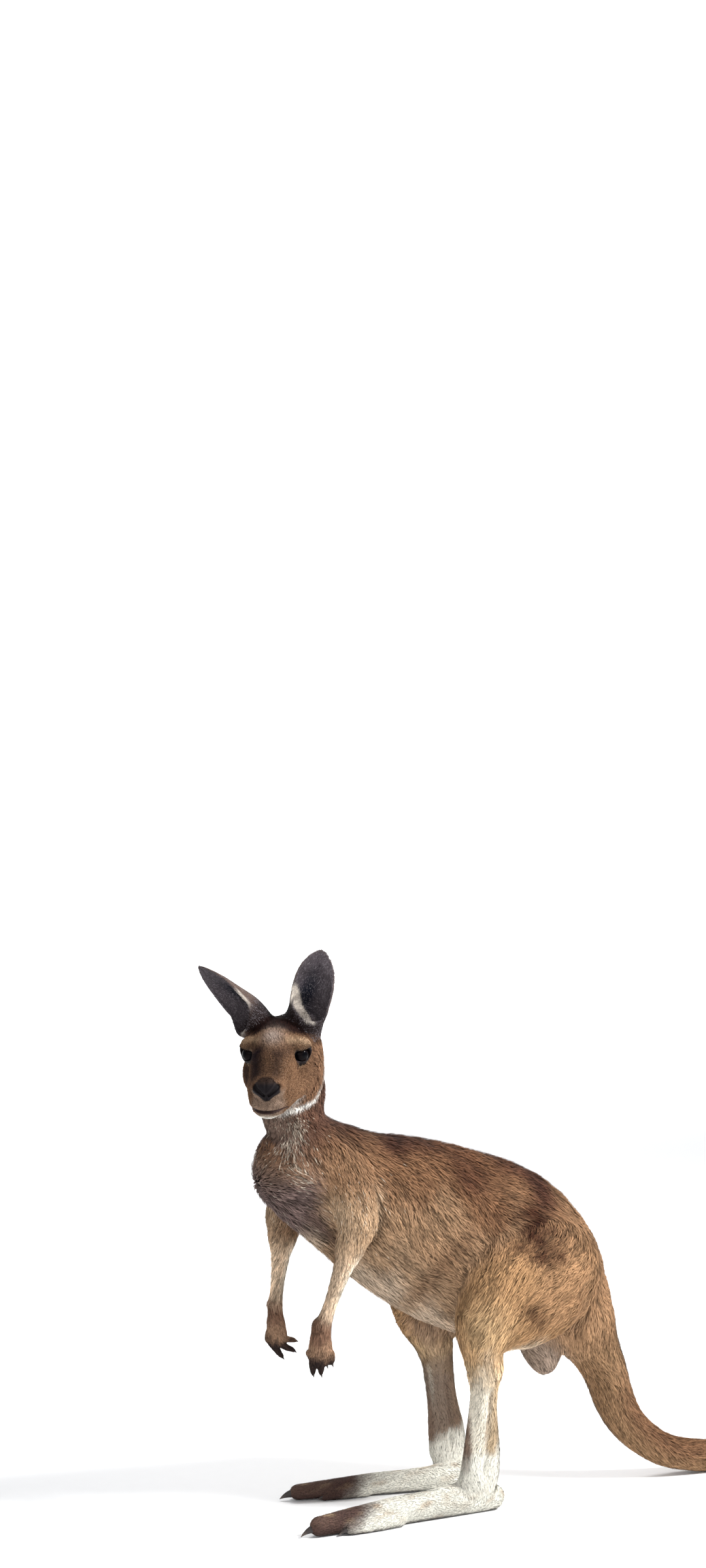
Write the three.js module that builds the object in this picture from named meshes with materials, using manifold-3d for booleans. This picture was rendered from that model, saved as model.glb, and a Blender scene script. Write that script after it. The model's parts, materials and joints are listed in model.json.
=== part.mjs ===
// A young male western grey kangaroo, life size, standing crouched with its head turned to its left.
// Millimetres, +Z up. The animal faces -Y, its left side is +X and the floor is z = 0.
//
// Every body part is a smooth solid described by sections along a line (trunk, tail, limbs, fingers)
// or by ellipsoids. The parts are blended, covered with facets, and parted again into named solids.

import * as THREE from "three";
import { mergeVertices } from "three/addons/utils/BufferGeometryUtils.js";
import Module from "manifold-3d";

const wasm = await Module();
wasm.setup();

// ---- driving dimensions ----------------------------------------------------------------------

const GAP = 0.4; // clearance between neighbouring solids
const CENTRE_X = 3.05; // middle of the whole animal across, placed at the origin
const CENTRE_Y = 349.76; // middle of the whole animal along, placed at the origin

const NOSE_TURN = 60; // degrees the head is turned to its left of straight ahead
const EYES = [62, -257, 753]; // point midway between the eyes
const EYE_RADIUS = 15.5;
const EYE_APART = 38; // eyeball centre from the middle of the head
const EYE_SET_BACK = 1; // eyeball centre behind the point midway between the eyes
const GAZE_OUT = 45; // degrees each eye looks out to its side
const EYE_OPENING = { reach: 12, radius: 14 }; // hollow in the lids in front of the eyeball
const EAR_SHELL = 4.5; // depth of the ear wall at its back
const EAR_RIM = 1; // thickness of the ear at its edge
const EAR_CLEARANCE = 1.3; // room round the foot of each ear

const FOOT_LENGTH = 317; // heel section to toe section
const SOLE_SINK = 1.6; // how far soles and tail underside are pressed flat
const KNEE_HEIGHT = 240; // above this both shins are alike
const ANKLE_HEIGHT = 62;
const THIGH_INNER = 55; // how near the middle the thighs reach inside the trunk
const ARM_INNER = 50; // how near the middle the upper arms reach

// how softly each part runs into the one that carries it
const BLEND = {
  neck: 26,
  tail: 25,
  leg: 26,
  arm: 16,
  scrotum: 14,
  shin: 14,
  foot: 11,
  forearm: 12,
  toe: 6,
  head: 22,
  jaw: 12,
  cheek: 14,
  socket: 10,
  nose: 8,
};
const FILLET_HEIGHT = 7; // how far the trunk's fillets stand out of it round a limb

// how finely each part is faceted: rows along it and columns round it
const TRUNK_GRID = { rows: 2, columns: 20 };
const NECK_GRID = { rows: 2, columns: 16 };
const HEAD_GRID = { rows: 2, columns: 18, startRows: 2, endRows: 3 };
const LEG_GRID = { rows: 2, columns: 14, startRows: 3 };
const FOOT_GRID = { rows: 1, columns: 12, startRows: 2, endRows: 2 };
const ARM_GRID = { rows: 2, columns: 10, startRows: 2, endRows: 2 };
const PALM_GRID = { rows: 1, columns: 10, endRows: 2 };
const FINGER_GRID = { rows: 1, columns: 5, endRows: 1 };
const TAIL_GRID = { rows: 1, columns: 12, endRows: 2 };
const POUCH_GRID = { rows: 1, columns: 10, endRows: 2 };
const EYE_GRID = { rows: 7, columns: 12 };

// ---- small vector helpers --------------------------------------------------------------------

const ACROSS = [1, 0, 0];
const add = (a, b) => [a[0] + b[0], a[1] + b[1], a[2] + b[2]];
const sub = (a, b) => [a[0] - b[0], a[1] - b[1], a[2] - b[2]];
const scale = (a, k) => [a[0] * k, a[1] * k, a[2] * k];
const dot = (a, b) => a[0] * b[0] + a[1] * b[1] + a[2] * b[2];
const size = (a) => Math.sqrt(dot(a, a));
const unit = (a) => scale(a, 1 / size(a));
const mix = (a, b, t) => a + (b - a) * t;
const between = (a, b, t) => a.map((value, i) => mix(value, b[i], t));
const clamp = (value, low, high) => Math.min(Math.max(value, low), high);
const cross = (a, b) => [
  a[1] * b[2] - a[2] * b[1],
  a[2] * b[0] - a[0] * b[2],
  a[0] * b[1] - a[1] * b[0],
];

// ---- solids as distance functions --------------------------------------------------------------

// distance to an ellipse-shaped surface, scaled so that it is true near the surface
function roundDistance(radius, stretched, thinnest) {
  return stretched < 1e-3 ? -thinnest : radius * (1 - 1 / stretched);
}

// a smooth curve through the sections, with extra sections between them
function smoothSections(sections, steps) {
  const smooth = [];
  const last = sections.length - 1;
  for (let i = 0; i < last; i += 1) {
    const [before, from] = [sections[Math.max(i - 1, 0)], sections[i]];
    const [to, after] = [sections[i + 1], sections[Math.min(i + 2, last)]];
    for (let step = 0; step < steps; step += 1) {
      const t = step / steps;
      smooth.push(
        from.map((value, axis) => {
          const slope = (to[axis] - before[axis]) * t;
          const bend = 2 * before[axis] - 5 * value + 4 * to[axis] - after[axis];
          const twist = 3 * value - before[axis] - 3 * to[axis] + after[axis];
          return 0.5 * (2 * value + slope + bend * t * t + twist * t * t * t);
        }),
      );
    }
  }
  smooth.push(sections[last]);
  return smooth;
}

// sections are [x, y, z, half width, half depth]; the width lies along `across`
function sweep(sections, across = ACROSS, steps = 3) {
  const smooth = smoothSections(sections, steps);
  const spans = [];
  for (let i = 0; i < smooth.length - 1; i += 1) {
    const [from, to] = [smooth[i], smooth[i + 1]];
    const length = size(sub(to, from));
    const along = unit(sub(to, from));
    const side = unit(sub(across, scale(along, dot(across, along))));
    spans.push({ from, to, length, along, side, up: cross(along, side) });
  }
  return (p) => {
    let nearest = Infinity;
    for (const { from, to, length, along, side, up } of spans) {
      const offset = sub(p, from);
      const reach = dot(offset, along);
      const t = clamp(reach / length, 0, 1);
      const wide = mix(from[3], to[3], t);
      const deep = mix(from[4], to[4], t);
      const x = dot(offset, side);
      const y = dot(offset, up);
      const past = reach - t * length;
      const radius = Math.hypot(x, y, past);
      const stretched = Math.hypot(x / wide, y / deep, (2 * past) / (wide + deep));
      nearest = Math.min(nearest, roundDistance(radius, stretched, Math.min(wide, deep)));
    }
    return nearest;
  };
}

function ellipsoid(centre, radii, axes) {
  return (p) => {
    const offset = sub(p, centre);
    const local = axes.map((axis) => dot(offset, axis));
    const stretched = size(local.map((value, i) => value / radii[i]));
    return roundDistance(size(local), stretched, Math.min(...radii));
  };
}

// two solids run into one another with a fillet about a quarter of `blend` deep
const blended = (a, b, blend) => (p) => {
  const [near, far] = [a(p), b(p)];
  const t = clamp(0.5 + (far - near) / (2 * blend), 0, 1);
  return mix(far, near, t) - blend * t * (1 - t);
};

const blendAll = (first, ...rest) =>
  rest.reduce((solid, [next, blend]) => blended(solid, next, blend), first);

// ---- trunk, neck, tail, scrotum ----------------------------------------------------------------

const trunk = sweep([
  [0, -206, 557, 63, 66], // breast
  [0, -166, 552, 72, 91], // shoulders
  [0, -95, 513, 84, 107], // girth behind the elbows
  [0, -21, 479, 94, 130], // ribs
  [0, 67, 440, 104, 146], // loin
  [0, 165, 403, 108, 146], // hips
  [0, 237, 371, 98, 114], // rump
  [0, 282, 326, 75, 82],
  [0, 315, 276, 54, 58], // under the tail
]);

const neck = sweep([
  [0, -186, 590, 56, 63], // where it leaves the shoulders
  [0, -195, 628, 48, 48],
  [4, -206, 665, 45, 55],
  [12, -203, 700, 46, 51],
  [20, -203, 740, 44, 44],
  [24, -203, 782, 37, 38], // behind the ears
]);

const TAIL_HEIGHT = 28 - SOLE_SINK;
const tail = sweep([
  [0, 303, 302, 58, 60], // root
  [0, 335, 248, 46, 50],
  [0, 364, 193, 39, 40.5],
  [0, 383, 141, 36, 37],
  [0, 406, 100, 33, 33.5],
  [1, 441, 67, 31, 31],
  [4, 489, 40, 29.5, 29],
  [7, 565, TAIL_HEIGHT, 28, 28], // comes to lie on the floor
  [9, 680, TAIL_HEIGHT - 2.5, 25, 25.5],
  [12, 800, TAIL_HEIGHT - 6.2, 21, 21.8],
  [18, 910, TAIL_HEIGHT - 10.2, 17, 17.8],
  [28, 1000, TAIL_HEIGHT - 14.8, 12.5, 13.2],
  [35, 1045, TAIL_HEIGHT - 19.7, 7.5, 8.3], // tip
]);

const scrotum = sweep([
  [0, 238, 262, 36, 40],
  [0, 247, 234, 31, 34.5],
  [0, 252, 213, 20, 24],
]);

// ---- legs --------------------------------------------------------------------------------------

// side is 1 for the left leg and -1 for the right; `back` is how far the ankle is set back
const LEFT_LEG = {
  side: 1,
  back: 0,
  toeIn: 0,
  knee: 0.9,
  calf: 0.92,
  heel: [74, 120],
  yaw: 5,
  length: 1.01,
  instep: 1.08,
};
const RIGHT_LEG = {
  side: -1,
  back: 25,
  toeIn: 5,
  knee: 1.26,
  calf: 1.08,
  heel: [-58, 152],
  yaw: 8.4,
  length: 0.97,
  instep: 0.88,
};
const FOOT_CORE = [19, 12]; // height of the foot's middle line at the heel and at the toe

// claws of the toes: where root and tip lie along the foot, how far out, how high, how thick
const TOE_CLAWS = {
  great: { root: 1, out: 0, height: 12, reach: 1.1, low: 3, radius: 8 },
  outer: { root: 0.85, out: 18, height: 8, reach: 0.922, low: 2.5, radius: 4.6 },
  inner: { root: 0.86, out: -17, height: 6.5, reach: 0.905, low: 2.5, radius: 3 },
};
const TOE_CLAW_STRAIGHT = 0.65; // how far out they start to bend down

function thighOf({ side, knee }) {
  return sweep([
    [side * 60, 258, 366, 50, 78], // over the hip joint
    [side * 84, 212, 374, 52, 98],
    [side * 98, 150, 356, 50, 97],
    [side * 102, 99, 318, 44, 70 * knee],
    [side * 100, 88, 278, 38, 44 * knee], // knee
    [side * 96, 95, KNEE_HEIGHT, 32, 31],
  ]);
}

function shinOf({ side, back, toeIn, calf }) {
  const at = (x, y, z, wide, deep) => {
    const drop = (KNEE_HEIGHT - z) / (KNEE_HEIGHT - ANKLE_HEIGHT);
    return [side * (x - toeIn), y + back * drop, z, wide, deep];
  };
  return sweep([
    at(97, 95, KNEE_HEIGHT, 31, 31 * calf),
    at(96, 94, 222, 28, 29 * calf),
    at(95, 91, 184, 23.5, 25.5 * calf),
    at(93, 90, 140, 20, 28), // shin bone with the heel tendon behind
    at(91, 90, 100, 19, 33),
    at(88, 87, ANKLE_HEIGHT, 19, 35),
  ]);
}

// a point on the foot: `along` from heel to toe, `out` towards the little toe
function onFoot({ side, heel, yaw, length }, along, out, z) {
  const turn = THREE.MathUtils.degToRad(yaw);
  const reach = along * FOOT_LENGTH * length;
  const x = heel[0] + side * (reach * Math.sin(turn) + out * Math.cos(turn));
  return [x, heel[1] - reach * Math.cos(turn) + out * Math.sin(turn), z];
}

function footOf(leg) {
  const at = (along, out, wide, deep) => {
    const thick = deep * leg.instep;
    return [...onFoot(leg, along, out, thick - SOLE_SINK), wide, thick];
  };
  const main = sweep([
    at(0, 0, 17, 20), // heel
    at(0.08, 0, 19, 24.5),
    at(0.19, 0, 19.5, 25),
    at(0.38, 0, 19.5, 22.5),
    at(0.57, 0, 19.5, 21.5),
    at(0.76, 0, 18.5, 19),
    at(0.9, 0, 16.5, 17),
    at(1, 0, 14.5, 15.5), // great fourth toe
  ]);
  const outerToe = sweep([at(0.57, 15, 10, 12), at(0.73, 19, 9, 11.5), at(0.85, 18, 8, 9.5)]);
  const innerToes = sweep([at(0.63, -13, 8, 10.5), at(0.76, -17, 7, 8.5), at(0.86, -17, 6, 7)]);
  return blendAll(main, [outerToe, BLEND.toe], [innerToes, BLEND.toe]);
}

const limb = (leg) => blendAll(thighOf(leg), [shinOf(leg), BLEND.shin], [footOf(leg), BLEND.foot]);

// ---- arms --------------------------------------------------------------------------------------

// palm and spread: the ways the palm and its width point; curl: where the finger tips swing to,
// curls: how far each does; bow: how far the knuckles stand out on the other side,
// reaches: how far each finger reaches from the wrist
const LEFT_ARM = {
  shoulder: [46, -150, 575],
  mid: [70, -132, 530],
  elbow: [86, -124, 484],
  wrist: [73, -184, 312],
  palm: [0, -0.02, -1],
  spread: [0.39, 0.92, 0],
  wristDepth: 15,
  curl: [0, 0.04, 0],
  curls: [17, 25, 10, 7, 6],
  bow: 0,
  reaches: [33, 63, 63, 49, 47],
};
const RIGHT_ARM = {
  shoulder: [-46, -165, 575],
  mid: [-68, -178, 528],
  elbow: [-82, -183, 474],
  wrist: [-75, -204, 320],
  wristDepth: 11,
  palm: [0, 0.1, -1],
  spread: [-0.8, -0.35, 0],
  curl: [0, 1, 0],
  curls: [17, 17, 5, 4, 4],
  bow: 5,
  reaches: [47, 64, 74, 66, 56],
};
const FINGER_PLACE = [-15, -10.5, 1, 8.5, 15.5]; // thumb to little finger, across the palm
const FINGER_FAN = 1.15; // how much further apart the tips are than the roots
const FINGER_MIDDLE = 0.6; // where along a finger its knuckle is
const KNUCKLE_CURL = 0.15; // how much of the curl is reached at the knuckle
const FINGER_GIRTH = [8, 7.3, 4.6]; // half width at root, knuckle and tip
const PALM_LENGTH = 34;
const FINGER_CLAW = { length: 9, radius: 2.6, straight: 0.45, droop: [0, 0.25, -0.35] };
const ELBOW_CUT = 0.12; // where the upper arm is parted from the forearm, elbow to wrist

function upperArmOf({ shoulder, mid, elbow }) {
  return sweep([[...shoulder, 28, 37], [...mid, 32, 39], [...elbow, 27, 32]]);
}

function forearmOf({ elbow, wrist, wristDepth }) {
  const at = (t, wide, deep) => [...between(elbow, wrist, t), wide, deep];
  return sweep([
    at(0.02, 25, 30),
    at(0.2, 22, 27),
    at(0.4, 16, 17.5),
    at(0.64, 12, 12.5),
    at(0.83, 11, 11.5),
    at(1, 11.5, wristDepth),
  ]);
}

function finger({ wrist, palm, spread, curl, curls, bow, reaches }, index) {
  const across = FINGER_PLACE[index];
  const root = add(add(wrist, scale(palm, PALM_LENGTH)), scale(spread, across));
  const length = reaches[index];
  const down = add(add(wrist, scale(palm, length)), scale(spread, across * FINGER_FAN));
  const tip = add(down, scale(curl, curls[index]));
  const bend = curls[index] * KNUCKLE_CURL - bow;
  const middle = add(between(root, down, FINGER_MIDDLE), scale(curl, bend));
  return { root, middle, tip };
}

function palmOf({ wrist, palm, spread, wristDepth }) {
  const at = (reach, wide, deep) => [...add(wrist, scale(palm, reach)), wide, deep];
  const stops = [at(-12, 11.5, wristDepth), at(2, 11, wristDepth), at(18, 12, 19), at(33, 11.5, 19.5)];
  return sweep(stops, cross(palm, spread));
}

function fingerOf(arm, index) {
  const { root, middle, tip } = finger(arm, index);
  const stops = [root, middle, tip].map((at, i) => [...at, FINGER_GIRTH[i], FINGER_GIRTH[i]]);
  return sweep(stops, ACROSS, 2);
}

// ---- head --------------------------------------------------------------------------------------

// the head has its own axes: forward along the face, towards its left, and up
const turned = THREE.MathUtils.degToRad(90 - NOSE_TURN);
const FORWARD = [Math.cos(turned), -Math.sin(turned), 0];
const LEFTWARD = [Math.sin(turned), Math.cos(turned), 0];
const UPWARD = [0, 0, 1];
const HEAD_AXES = [FORWARD, LEFTWARD, UPWARD];
const turnOnly = ([f, l, u]) => add(add(scale(FORWARD, f), scale(LEFTWARD, l)), scale(UPWARD, u));
const onHead = (point) => add(EYES, turnOnly(point));
const headSection = ([f, l, u, wide, deep]) => [...onHead([f, l, u]), wide, deep];

const skull = sweep(
  [
    [-66, 0, 8, 42, 38], // back of the head
    [-42, 0, 9, 49, 45], // crown
    [-10, 0, 3, 48.5, 43],
    [20, 0, -12, 40, 37],
    [50, 0, -28, 34, 30],
    [68, 0, -38, 29, 24],
    [80, 0, -43, 24, 19],
  ].map(headSection),
  LEFTWARD,
);
const jaw = sweep(
  [
    [-48, 0, -34, 51, 34],
    [-15, 0, -46, 49, 36],
    [25, 0, -58, 41, 29],
    [55, 0, -67, 33, 24],
    [73, 0, -73, 24, 20], // chin
  ].map(headSection),
  LEFTWARD,
);
const cheek = (side) => ellipsoid(onHead([-36, side * 30, -32]), [36, 29, 36], HEAD_AXES);
const socket = (side) => ellipsoid(onHead([-4, side * 41, 8]), [26, 18, 20], HEAD_AXES);
const nose = ellipsoid(onHead([77, 0, -42]), [23, 27, 18], HEAD_AXES);
const headAlone = blendAll(
  skull,
  [jaw, BLEND.jaw],
  [cheek(1), BLEND.cheek],
  [cheek(-1), BLEND.cheek],
  [socket(1), BLEND.socket],
  [socket(-1), BLEND.socket],
  [nose, BLEND.nose],
);

// girth is how much wider than the sections the ear is at its foot and at its tip
const LEFT_EAR = { base: [-52, 36, 38], tip: [-55, 66, 158], face: [0.9, 0.35, 0], girth: [1, 1.07] };
const RIGHT_EAR = {
  base: [-52, -29, 42],
  tip: [-30, -127, 133],
  face: [0.64, -0.5, -0.58],
  girth: [1.16, 0.9],
};
// [along the ear, half width, half depth, forward shift of the section]
const EAR_SECTIONS = [
  [-0.06, 21, 20, 2],
  [0.12, 27, 31, 7],
  [0.27, 31.5, 34, 9.5],
  [0.4, 33.5, 28, 8],
  [0.54, 33.5, 20, 5],
  [0.68, 31, 13.5, 2.5],
  [0.8, 25.5, 9.5, 1.5],
  [0.9, 17.5, 6.5, 0.8],
  [0.97, 9.5, 4.5, 0.3],
  [1, 4, 3, 0],
];
const EAR_SCOOP_FROM = 0.08; // below this the ear is a solid stalk
const EAR_SCOOP_RUN = 0.12; // over this much of its length it opens out
const EAR_COLUMNS = 6;

// ---- facets ------------------------------------------------------------------------------------

const MARCH = 2.5; // how far a ray goes before it looks for the surface again
const MARCH_LIMIT = 260;
const HALVINGS = 14;

// keeps the part of a solid behind a plane; `facing` points away from what is kept
const clipped = (solid, point, facing) => {
  const direction = unit(facing);
  return (p) => Math.max(solid(p), dot(sub(p, point), direction));
};

// where a ray from inside the solid comes out
function surfacePoint(solid, from, direction) {
  let reach = MARCH;
  while (reach < MARCH_LIMIT && solid(add(from, scale(direction, reach))) < 0) reach += MARCH;
  let [inside, outside] = [reach - MARCH, reach];
  for (let round = 0; round < HALVINGS; round += 1) {
    const middle = (inside + outside) / 2;
    if (solid(add(from, scale(direction, middle))) < 0) inside = middle;
    else outside = middle;
  }
  return add(from, scale(direction, inside));
}

// wraps a solid in rings of facets round a line of centres inside it; extra rows at an end
// fan out from the last centre to round it off, otherwise the end is flat
function wrap(solid, centres, across, { rows, columns, startRows = 0, endRows = 0 }) {
  const line = smoothSections(centres, rows);
  const stops = line.map((centre, i) => {
    const ahead = line[Math.min(i + 1, line.length - 1)];
    const behind = line[Math.max(i - 1, 0)];
    return { centre, along: unit(sub(ahead, behind)), lean: 0 };
  });
  const [first, last] = [stops[0], stops[stops.length - 1]];
  for (let i = 1; i <= endRows; i += 1) stops.push({ ...last, lean: i / (endRows + 0.7) });
  for (let i = 1; i <= startRows; i += 1) stops.unshift({ ...first, lean: -i / (startRows + 0.7) });
  const rings = stops.map(({ centre, along, lean }) => {
    const side = unit(sub(across, scale(along, dot(across, along))));
    const up = cross(along, side);
    const tilt = (lean * Math.PI) / 2;
    const ring = [];
    for (let i = 0; i < columns; i += 1) {
      const angle = (2 * Math.PI * i) / columns;
      const out = add(scale(side, Math.cos(angle)), scale(up, Math.sin(angle)));
      const ray = add(scale(out, Math.cos(tilt)), scale(along, Math.sin(tilt)));
      ring.push(surfacePoint(solid, centre, ray));
    }
    return ring;
  });
  const poles = [
    startRows > 0 ? surfacePoint(solid, first.centre, scale(first.along, -1)) : undefined,
    endRows > 0 ? surfacePoint(solid, last.centre, last.along) : undefined,
  ];
  return loft(rings, poles);
}

function solidFrom(corners, triangles) {
  return new wasm.Manifold(
    new wasm.Mesh({
      numProp: 3,
      vertProperties: new Float32Array(corners.flat()),
      triVerts: new Uint32Array(triangles),
    }),
  );
}

// a closed skin over rings that all have the same number of corners, with a pole at each end
function loft(rings, poles = []) {
  const corners = rings.flat();
  const around = rings[0].length;
  const triangles = [];
  for (let ring = 0; ring < rings.length - 1; ring += 1) {
    for (let i = 0; i < around; i += 1) {
      const [a, b] = [ring * around + i, ring * around + ((i + 1) % around)];
      const [c, d] = [b + around, a + around];
      const short = size(sub(corners[a], corners[c])) < size(sub(corners[b], corners[d]));
      triangles.push(...(short ? [a, b, c, a, c, d] : [a, b, d, b, c, d]));
    }
  }
  const cap = (ring, pole, flip) => {
    const middle = corners.length;
    corners.push(pole ?? scale(rings[ring].reduce(add), 1 / around));
    for (let i = 0; i < around; i += 1) {
      const edge = [ring * around + i, ring * around + ((i + 1) % around)];
      if (flip) edge.reverse();
      triangles.push(middle, ...edge);
    }
  };
  cap(0, poles[0], true);
  cap(rings.length - 1, poles[1], false);
  const solid = solidFrom(corners, triangles);
  return solid.volume() > 0 ? solid : solidFrom(corners, triangles.reverse());
}

// a three.js geometry as a solid
function solidOf(geometry) {
  geometry.deleteAttribute("normal");
  geometry.deleteAttribute("uv");
  const merged = mergeVertices(geometry, 1e-4);
  return new wasm.Manifold(
    new wasm.Mesh({
      numProp: 3,
      vertProperties: new Float32Array(merged.attributes.position.array),
      triVerts: new Uint32Array(merged.index.array),
    }),
  );
}

function ball(centre, radius) {
  const sphere = new THREE.SphereGeometry(radius, EYE_GRID.columns, EYE_GRID.rows);
  sphere.translate(...centre);
  return solidOf(sphere);
}

// everything on the far side of a plane, as a large block; `facing` points into the block
const BLOCK = 2400;
function beyond(point, facing) {
  const block = new THREE.BoxGeometry(BLOCK, BLOCK, BLOCK);
  block.translate(0, 0, BLOCK / 2);
  const turn = new THREE.Quaternion();
  turn.setFromUnitVectors(new THREE.Vector3(0, 0, 1), new THREE.Vector3(...unit(facing)));
  block.applyQuaternion(turn);
  block.translate(...point);
  return solidOf(block);
}

// splits a solid at a plane and leaves the clearance between the two pieces
function part(solid, point, facing) {
  const direction = unit(facing);
  const step = scale(direction, GAP / 2);
  const far = solid.intersect(beyond(add(point, step), direction));
  const near = solid.intersect(beyond(sub(point, step), scale(direction, -1)));
  return [near, far];
}

const swollen = (solid, by) => (p) => solid(p) - by;

function largest(solid) {
  return solid.decompose().reduce((best, piece) => (piece.volume() > best.volume() ? piece : best));
}

// ---- the animal, part by part ------------------------------------------------------------------

const aboveFloor = beyond([0, 0, 0], [0, 0, 1]);
const OVERRUN = 14; // how far a part is modelled past the plane it is cut at
const pieces = {};

// a cut is a point on a plane and the direction of the far piece
const before = (solid, [point, facing]) =>
  clipped(solid, add(point, scale(unit(facing), OVERRUN)), facing);
const after = (solid, [point, facing]) =>
  clipped(solid, sub(point, scale(unit(facing), OVERRUN)), scale(facing, -1));

const neckCut = [[0, -180, 628], [0, -0.12, 1]];
const headCut = [onHead([-52, 0, -52]), [0.42, -0.27, 0.86]];
const rootCut = [[0, 345, 228], [0, 0.42, -0.9]];

// trunk: blended with its neighbours, but no further out than the fillets
const neckAndTrunk = blended(trunk, neck, BLEND.neck);
const core = blended(neckAndTrunk, tail, BLEND.tail);
const filleted = blendAll(
  core,
  [limb(LEFT_LEG), BLEND.leg],
  [limb(RIGHT_LEG), BLEND.leg],
  [upperArmOf(LEFT_ARM), BLEND.arm],
  [upperArmOf(RIGHT_ARM), BLEND.arm],
  [scrotum, BLEND.scrotum],
);
const trunkShape = (p) => Math.max(filleted(p), core(p) - FILLET_HEIGHT);
const trunkLine = [
  [0, -196, 652],
  [0, -188, 612],
  [0, -152, 552],
  [0, -90, 510],
  [0, -21, 477],
  [0, 67, 440],
  [0, 165, 402],
  [0, 240, 366],
  [0, 292, 320],
  [0, 325, 268],
  [0, 352, 214],
];
const trunkKept = before(before(trunkShape, rootCut), neckCut);
let trunkSolid = wrap(trunkKept, trunkLine, ACROSS, TRUNK_GRID);
trunkSolid = part(trunkSolid, ...neckCut)[0];
trunkSolid = part(trunkSolid, ...rootCut)[0];

// legs: one solid from hip to ankle and one for the foot, parted at knee and ankle
const FOOT_LINE = [0.02, 0.14, 0.28, 0.42, 0.56, 0.66, 0.76, 0.85, 0.93, 1];
for (const [name, leg] of [["left", LEFT_LEG], ["right", RIGHT_LEG]]) {
  const { side, back, toeIn } = leg;
  const whole = limb(leg);
  const kneeCut = [[0, 95, 246], [0, -0.15, -1]];
  const ankleCut = [[0, back + 84, 52], [0, -0.25, -1]];
  const legLine = [
    [side * 86, 240, 368],
    [side * 90, 200, 368],
    [side * 98, 150, 350],
    [side * 101, 104, 310],
    [side * 99, 92, 272],
    [side * 96, 96, KNEE_HEIGHT],
    [side * (95 - toeIn), 91 + back * 0.3, 186],
    [side * (92 - toeIn), 90 + back * 0.6, 128],
    [side * (90 - toeIn), 88 + back * 0.85, 88],
    [side * (88 - toeIn), 88 + back, 52],
  ];
  const modelled = before(whole, ankleCut);
  const outward = [side, 0, 0];
  const shape = wrap(modelled, legLine, outward, LEG_GRID);
  const [thigh, shin] = part(shape, ...kneeCut);
  pieces[`thigh_${name}`] = thigh.intersect(beyond(scale(outward, THIGH_INNER), outward));
  pieces[`shin_${name}`] = part(shin, ...ankleCut)[0];
  const hollow = wrap(swollen(modelled, GAP), legLine, outward, LEG_GRID);
  const inner = beyond(scale(outward, THIGH_INNER - GAP), outward);
  trunkSolid = trunkSolid.subtract(hollow.intersect(inner));

  const footLine = FOOT_LINE.map((t) => onFoot(leg, t, 0, mix(...FOOT_CORE, t)));
  const foot = wrap(after(whole, ankleCut), footLine, outward, FOOT_GRID);
  pieces[`foot_${name}`] = part(foot.intersect(aboveFloor), ...ankleCut)[1];
}

// arms: one solid from shoulder to wrist, parted at the elbow, and a palm with its fingers
for (const [name, arm] of [["left", LEFT_ARM], ["right", RIGHT_ARM]]) {
  const { shoulder, mid, elbow, wrist, palm, spread } = arm;
  const outward = [Math.sign(wrist[0]), 0, 0];
  const whole = blended(upperArmOf(arm), forearmOf(arm), BLEND.forearm);
  const forearmLine = [0.22, 0.4, 0.6, 0.8, 1].map((t) => between(elbow, wrist, t));
  const line = [shoulder, mid, elbow, ...forearmLine];
  const elbowCut = [between(elbow, wrist, ELBOW_CUT), sub(wrist, elbow)];
  const wristCut = [wrist, palm];
  const [upper, fore] = part(wrap(whole, line, outward, ARM_GRID), ...elbowCut);
  pieces[`upper_arm_${name}`] = upper.intersect(beyond(scale(outward, ARM_INNER), outward));
  pieces[`forearm_${name}`] = part(fore, ...wristCut)[0];
  const hollow = wrap(swollen(whole, GAP), line, outward, ARM_GRID);
  const inner = beyond(scale(outward, ARM_INNER - GAP), outward);
  trunkSolid = trunkSolid.subtract(hollow.intersect(inner));

  const palmLine = [-8, 4, 12, 21, 30].map((reach) => add(wrist, scale(palm, reach)));
  let hand = wrap(palmOf(arm), palmLine, spread, PALM_GRID);
  hand = part(hand, ...wristCut)[1];
  for (let index = 0; index < FINGER_PLACE.length; index += 1) {
    const { root, middle, tip } = finger(arm, index);
    hand = hand.add(wrap(fingerOf(arm, index), [root, middle, tip], spread, FINGER_GRID));
  }
  pieces[`hand_${name}`] = hand;
}

// scrotum
const pouchLine = [[0, 240, 256], [0, 247, 234], [0, 252, 214]];
const pouchTop = [[0, 238, 262], [0, 0, 1]];
pieces.scrotum = wrap(before(scrotum, pouchTop), pouchLine, ACROSS, POUCH_GRID);
trunkSolid = trunkSolid.subtract(wrap(swollen(scrotum, GAP), pouchLine, ACROSS, POUCH_GRID));
pieces.trunk = largest(trunkSolid);

// tail in three lengths
const tailLine = [
  [0, 318, 282],
  [0, 345, 232],
  [0, 366, 185],
  [0, 384, 142],
  [0, 408, 102],
  [1, 443, 69],
  [4, 491, 42],
  [6, 528, 31],
  [7, 575, 25],
  [9, 680, 22],
  [12, 800, 18.5],
  [18, 910, 14.5],
  [28, 1000, 10],
  [34, 1038, 6.5],
];
const middleCut = [[0, 560, 0], [0, 1, 0]];
const endCut = [[0, 810, 0], [0, 1, 0]];
const tailSolid = wrap(after(core, rootCut), tailLine, ACROSS, TAIL_GRID).intersect(aboveFloor);
const [tailRoot, tailRest] = part(part(tailSolid, ...rootCut)[1], ...middleCut);
pieces.tail_root = largest(tailRoot);
[pieces.tail_middle, pieces.tail_end] = part(tailRest, ...endCut);

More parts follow.
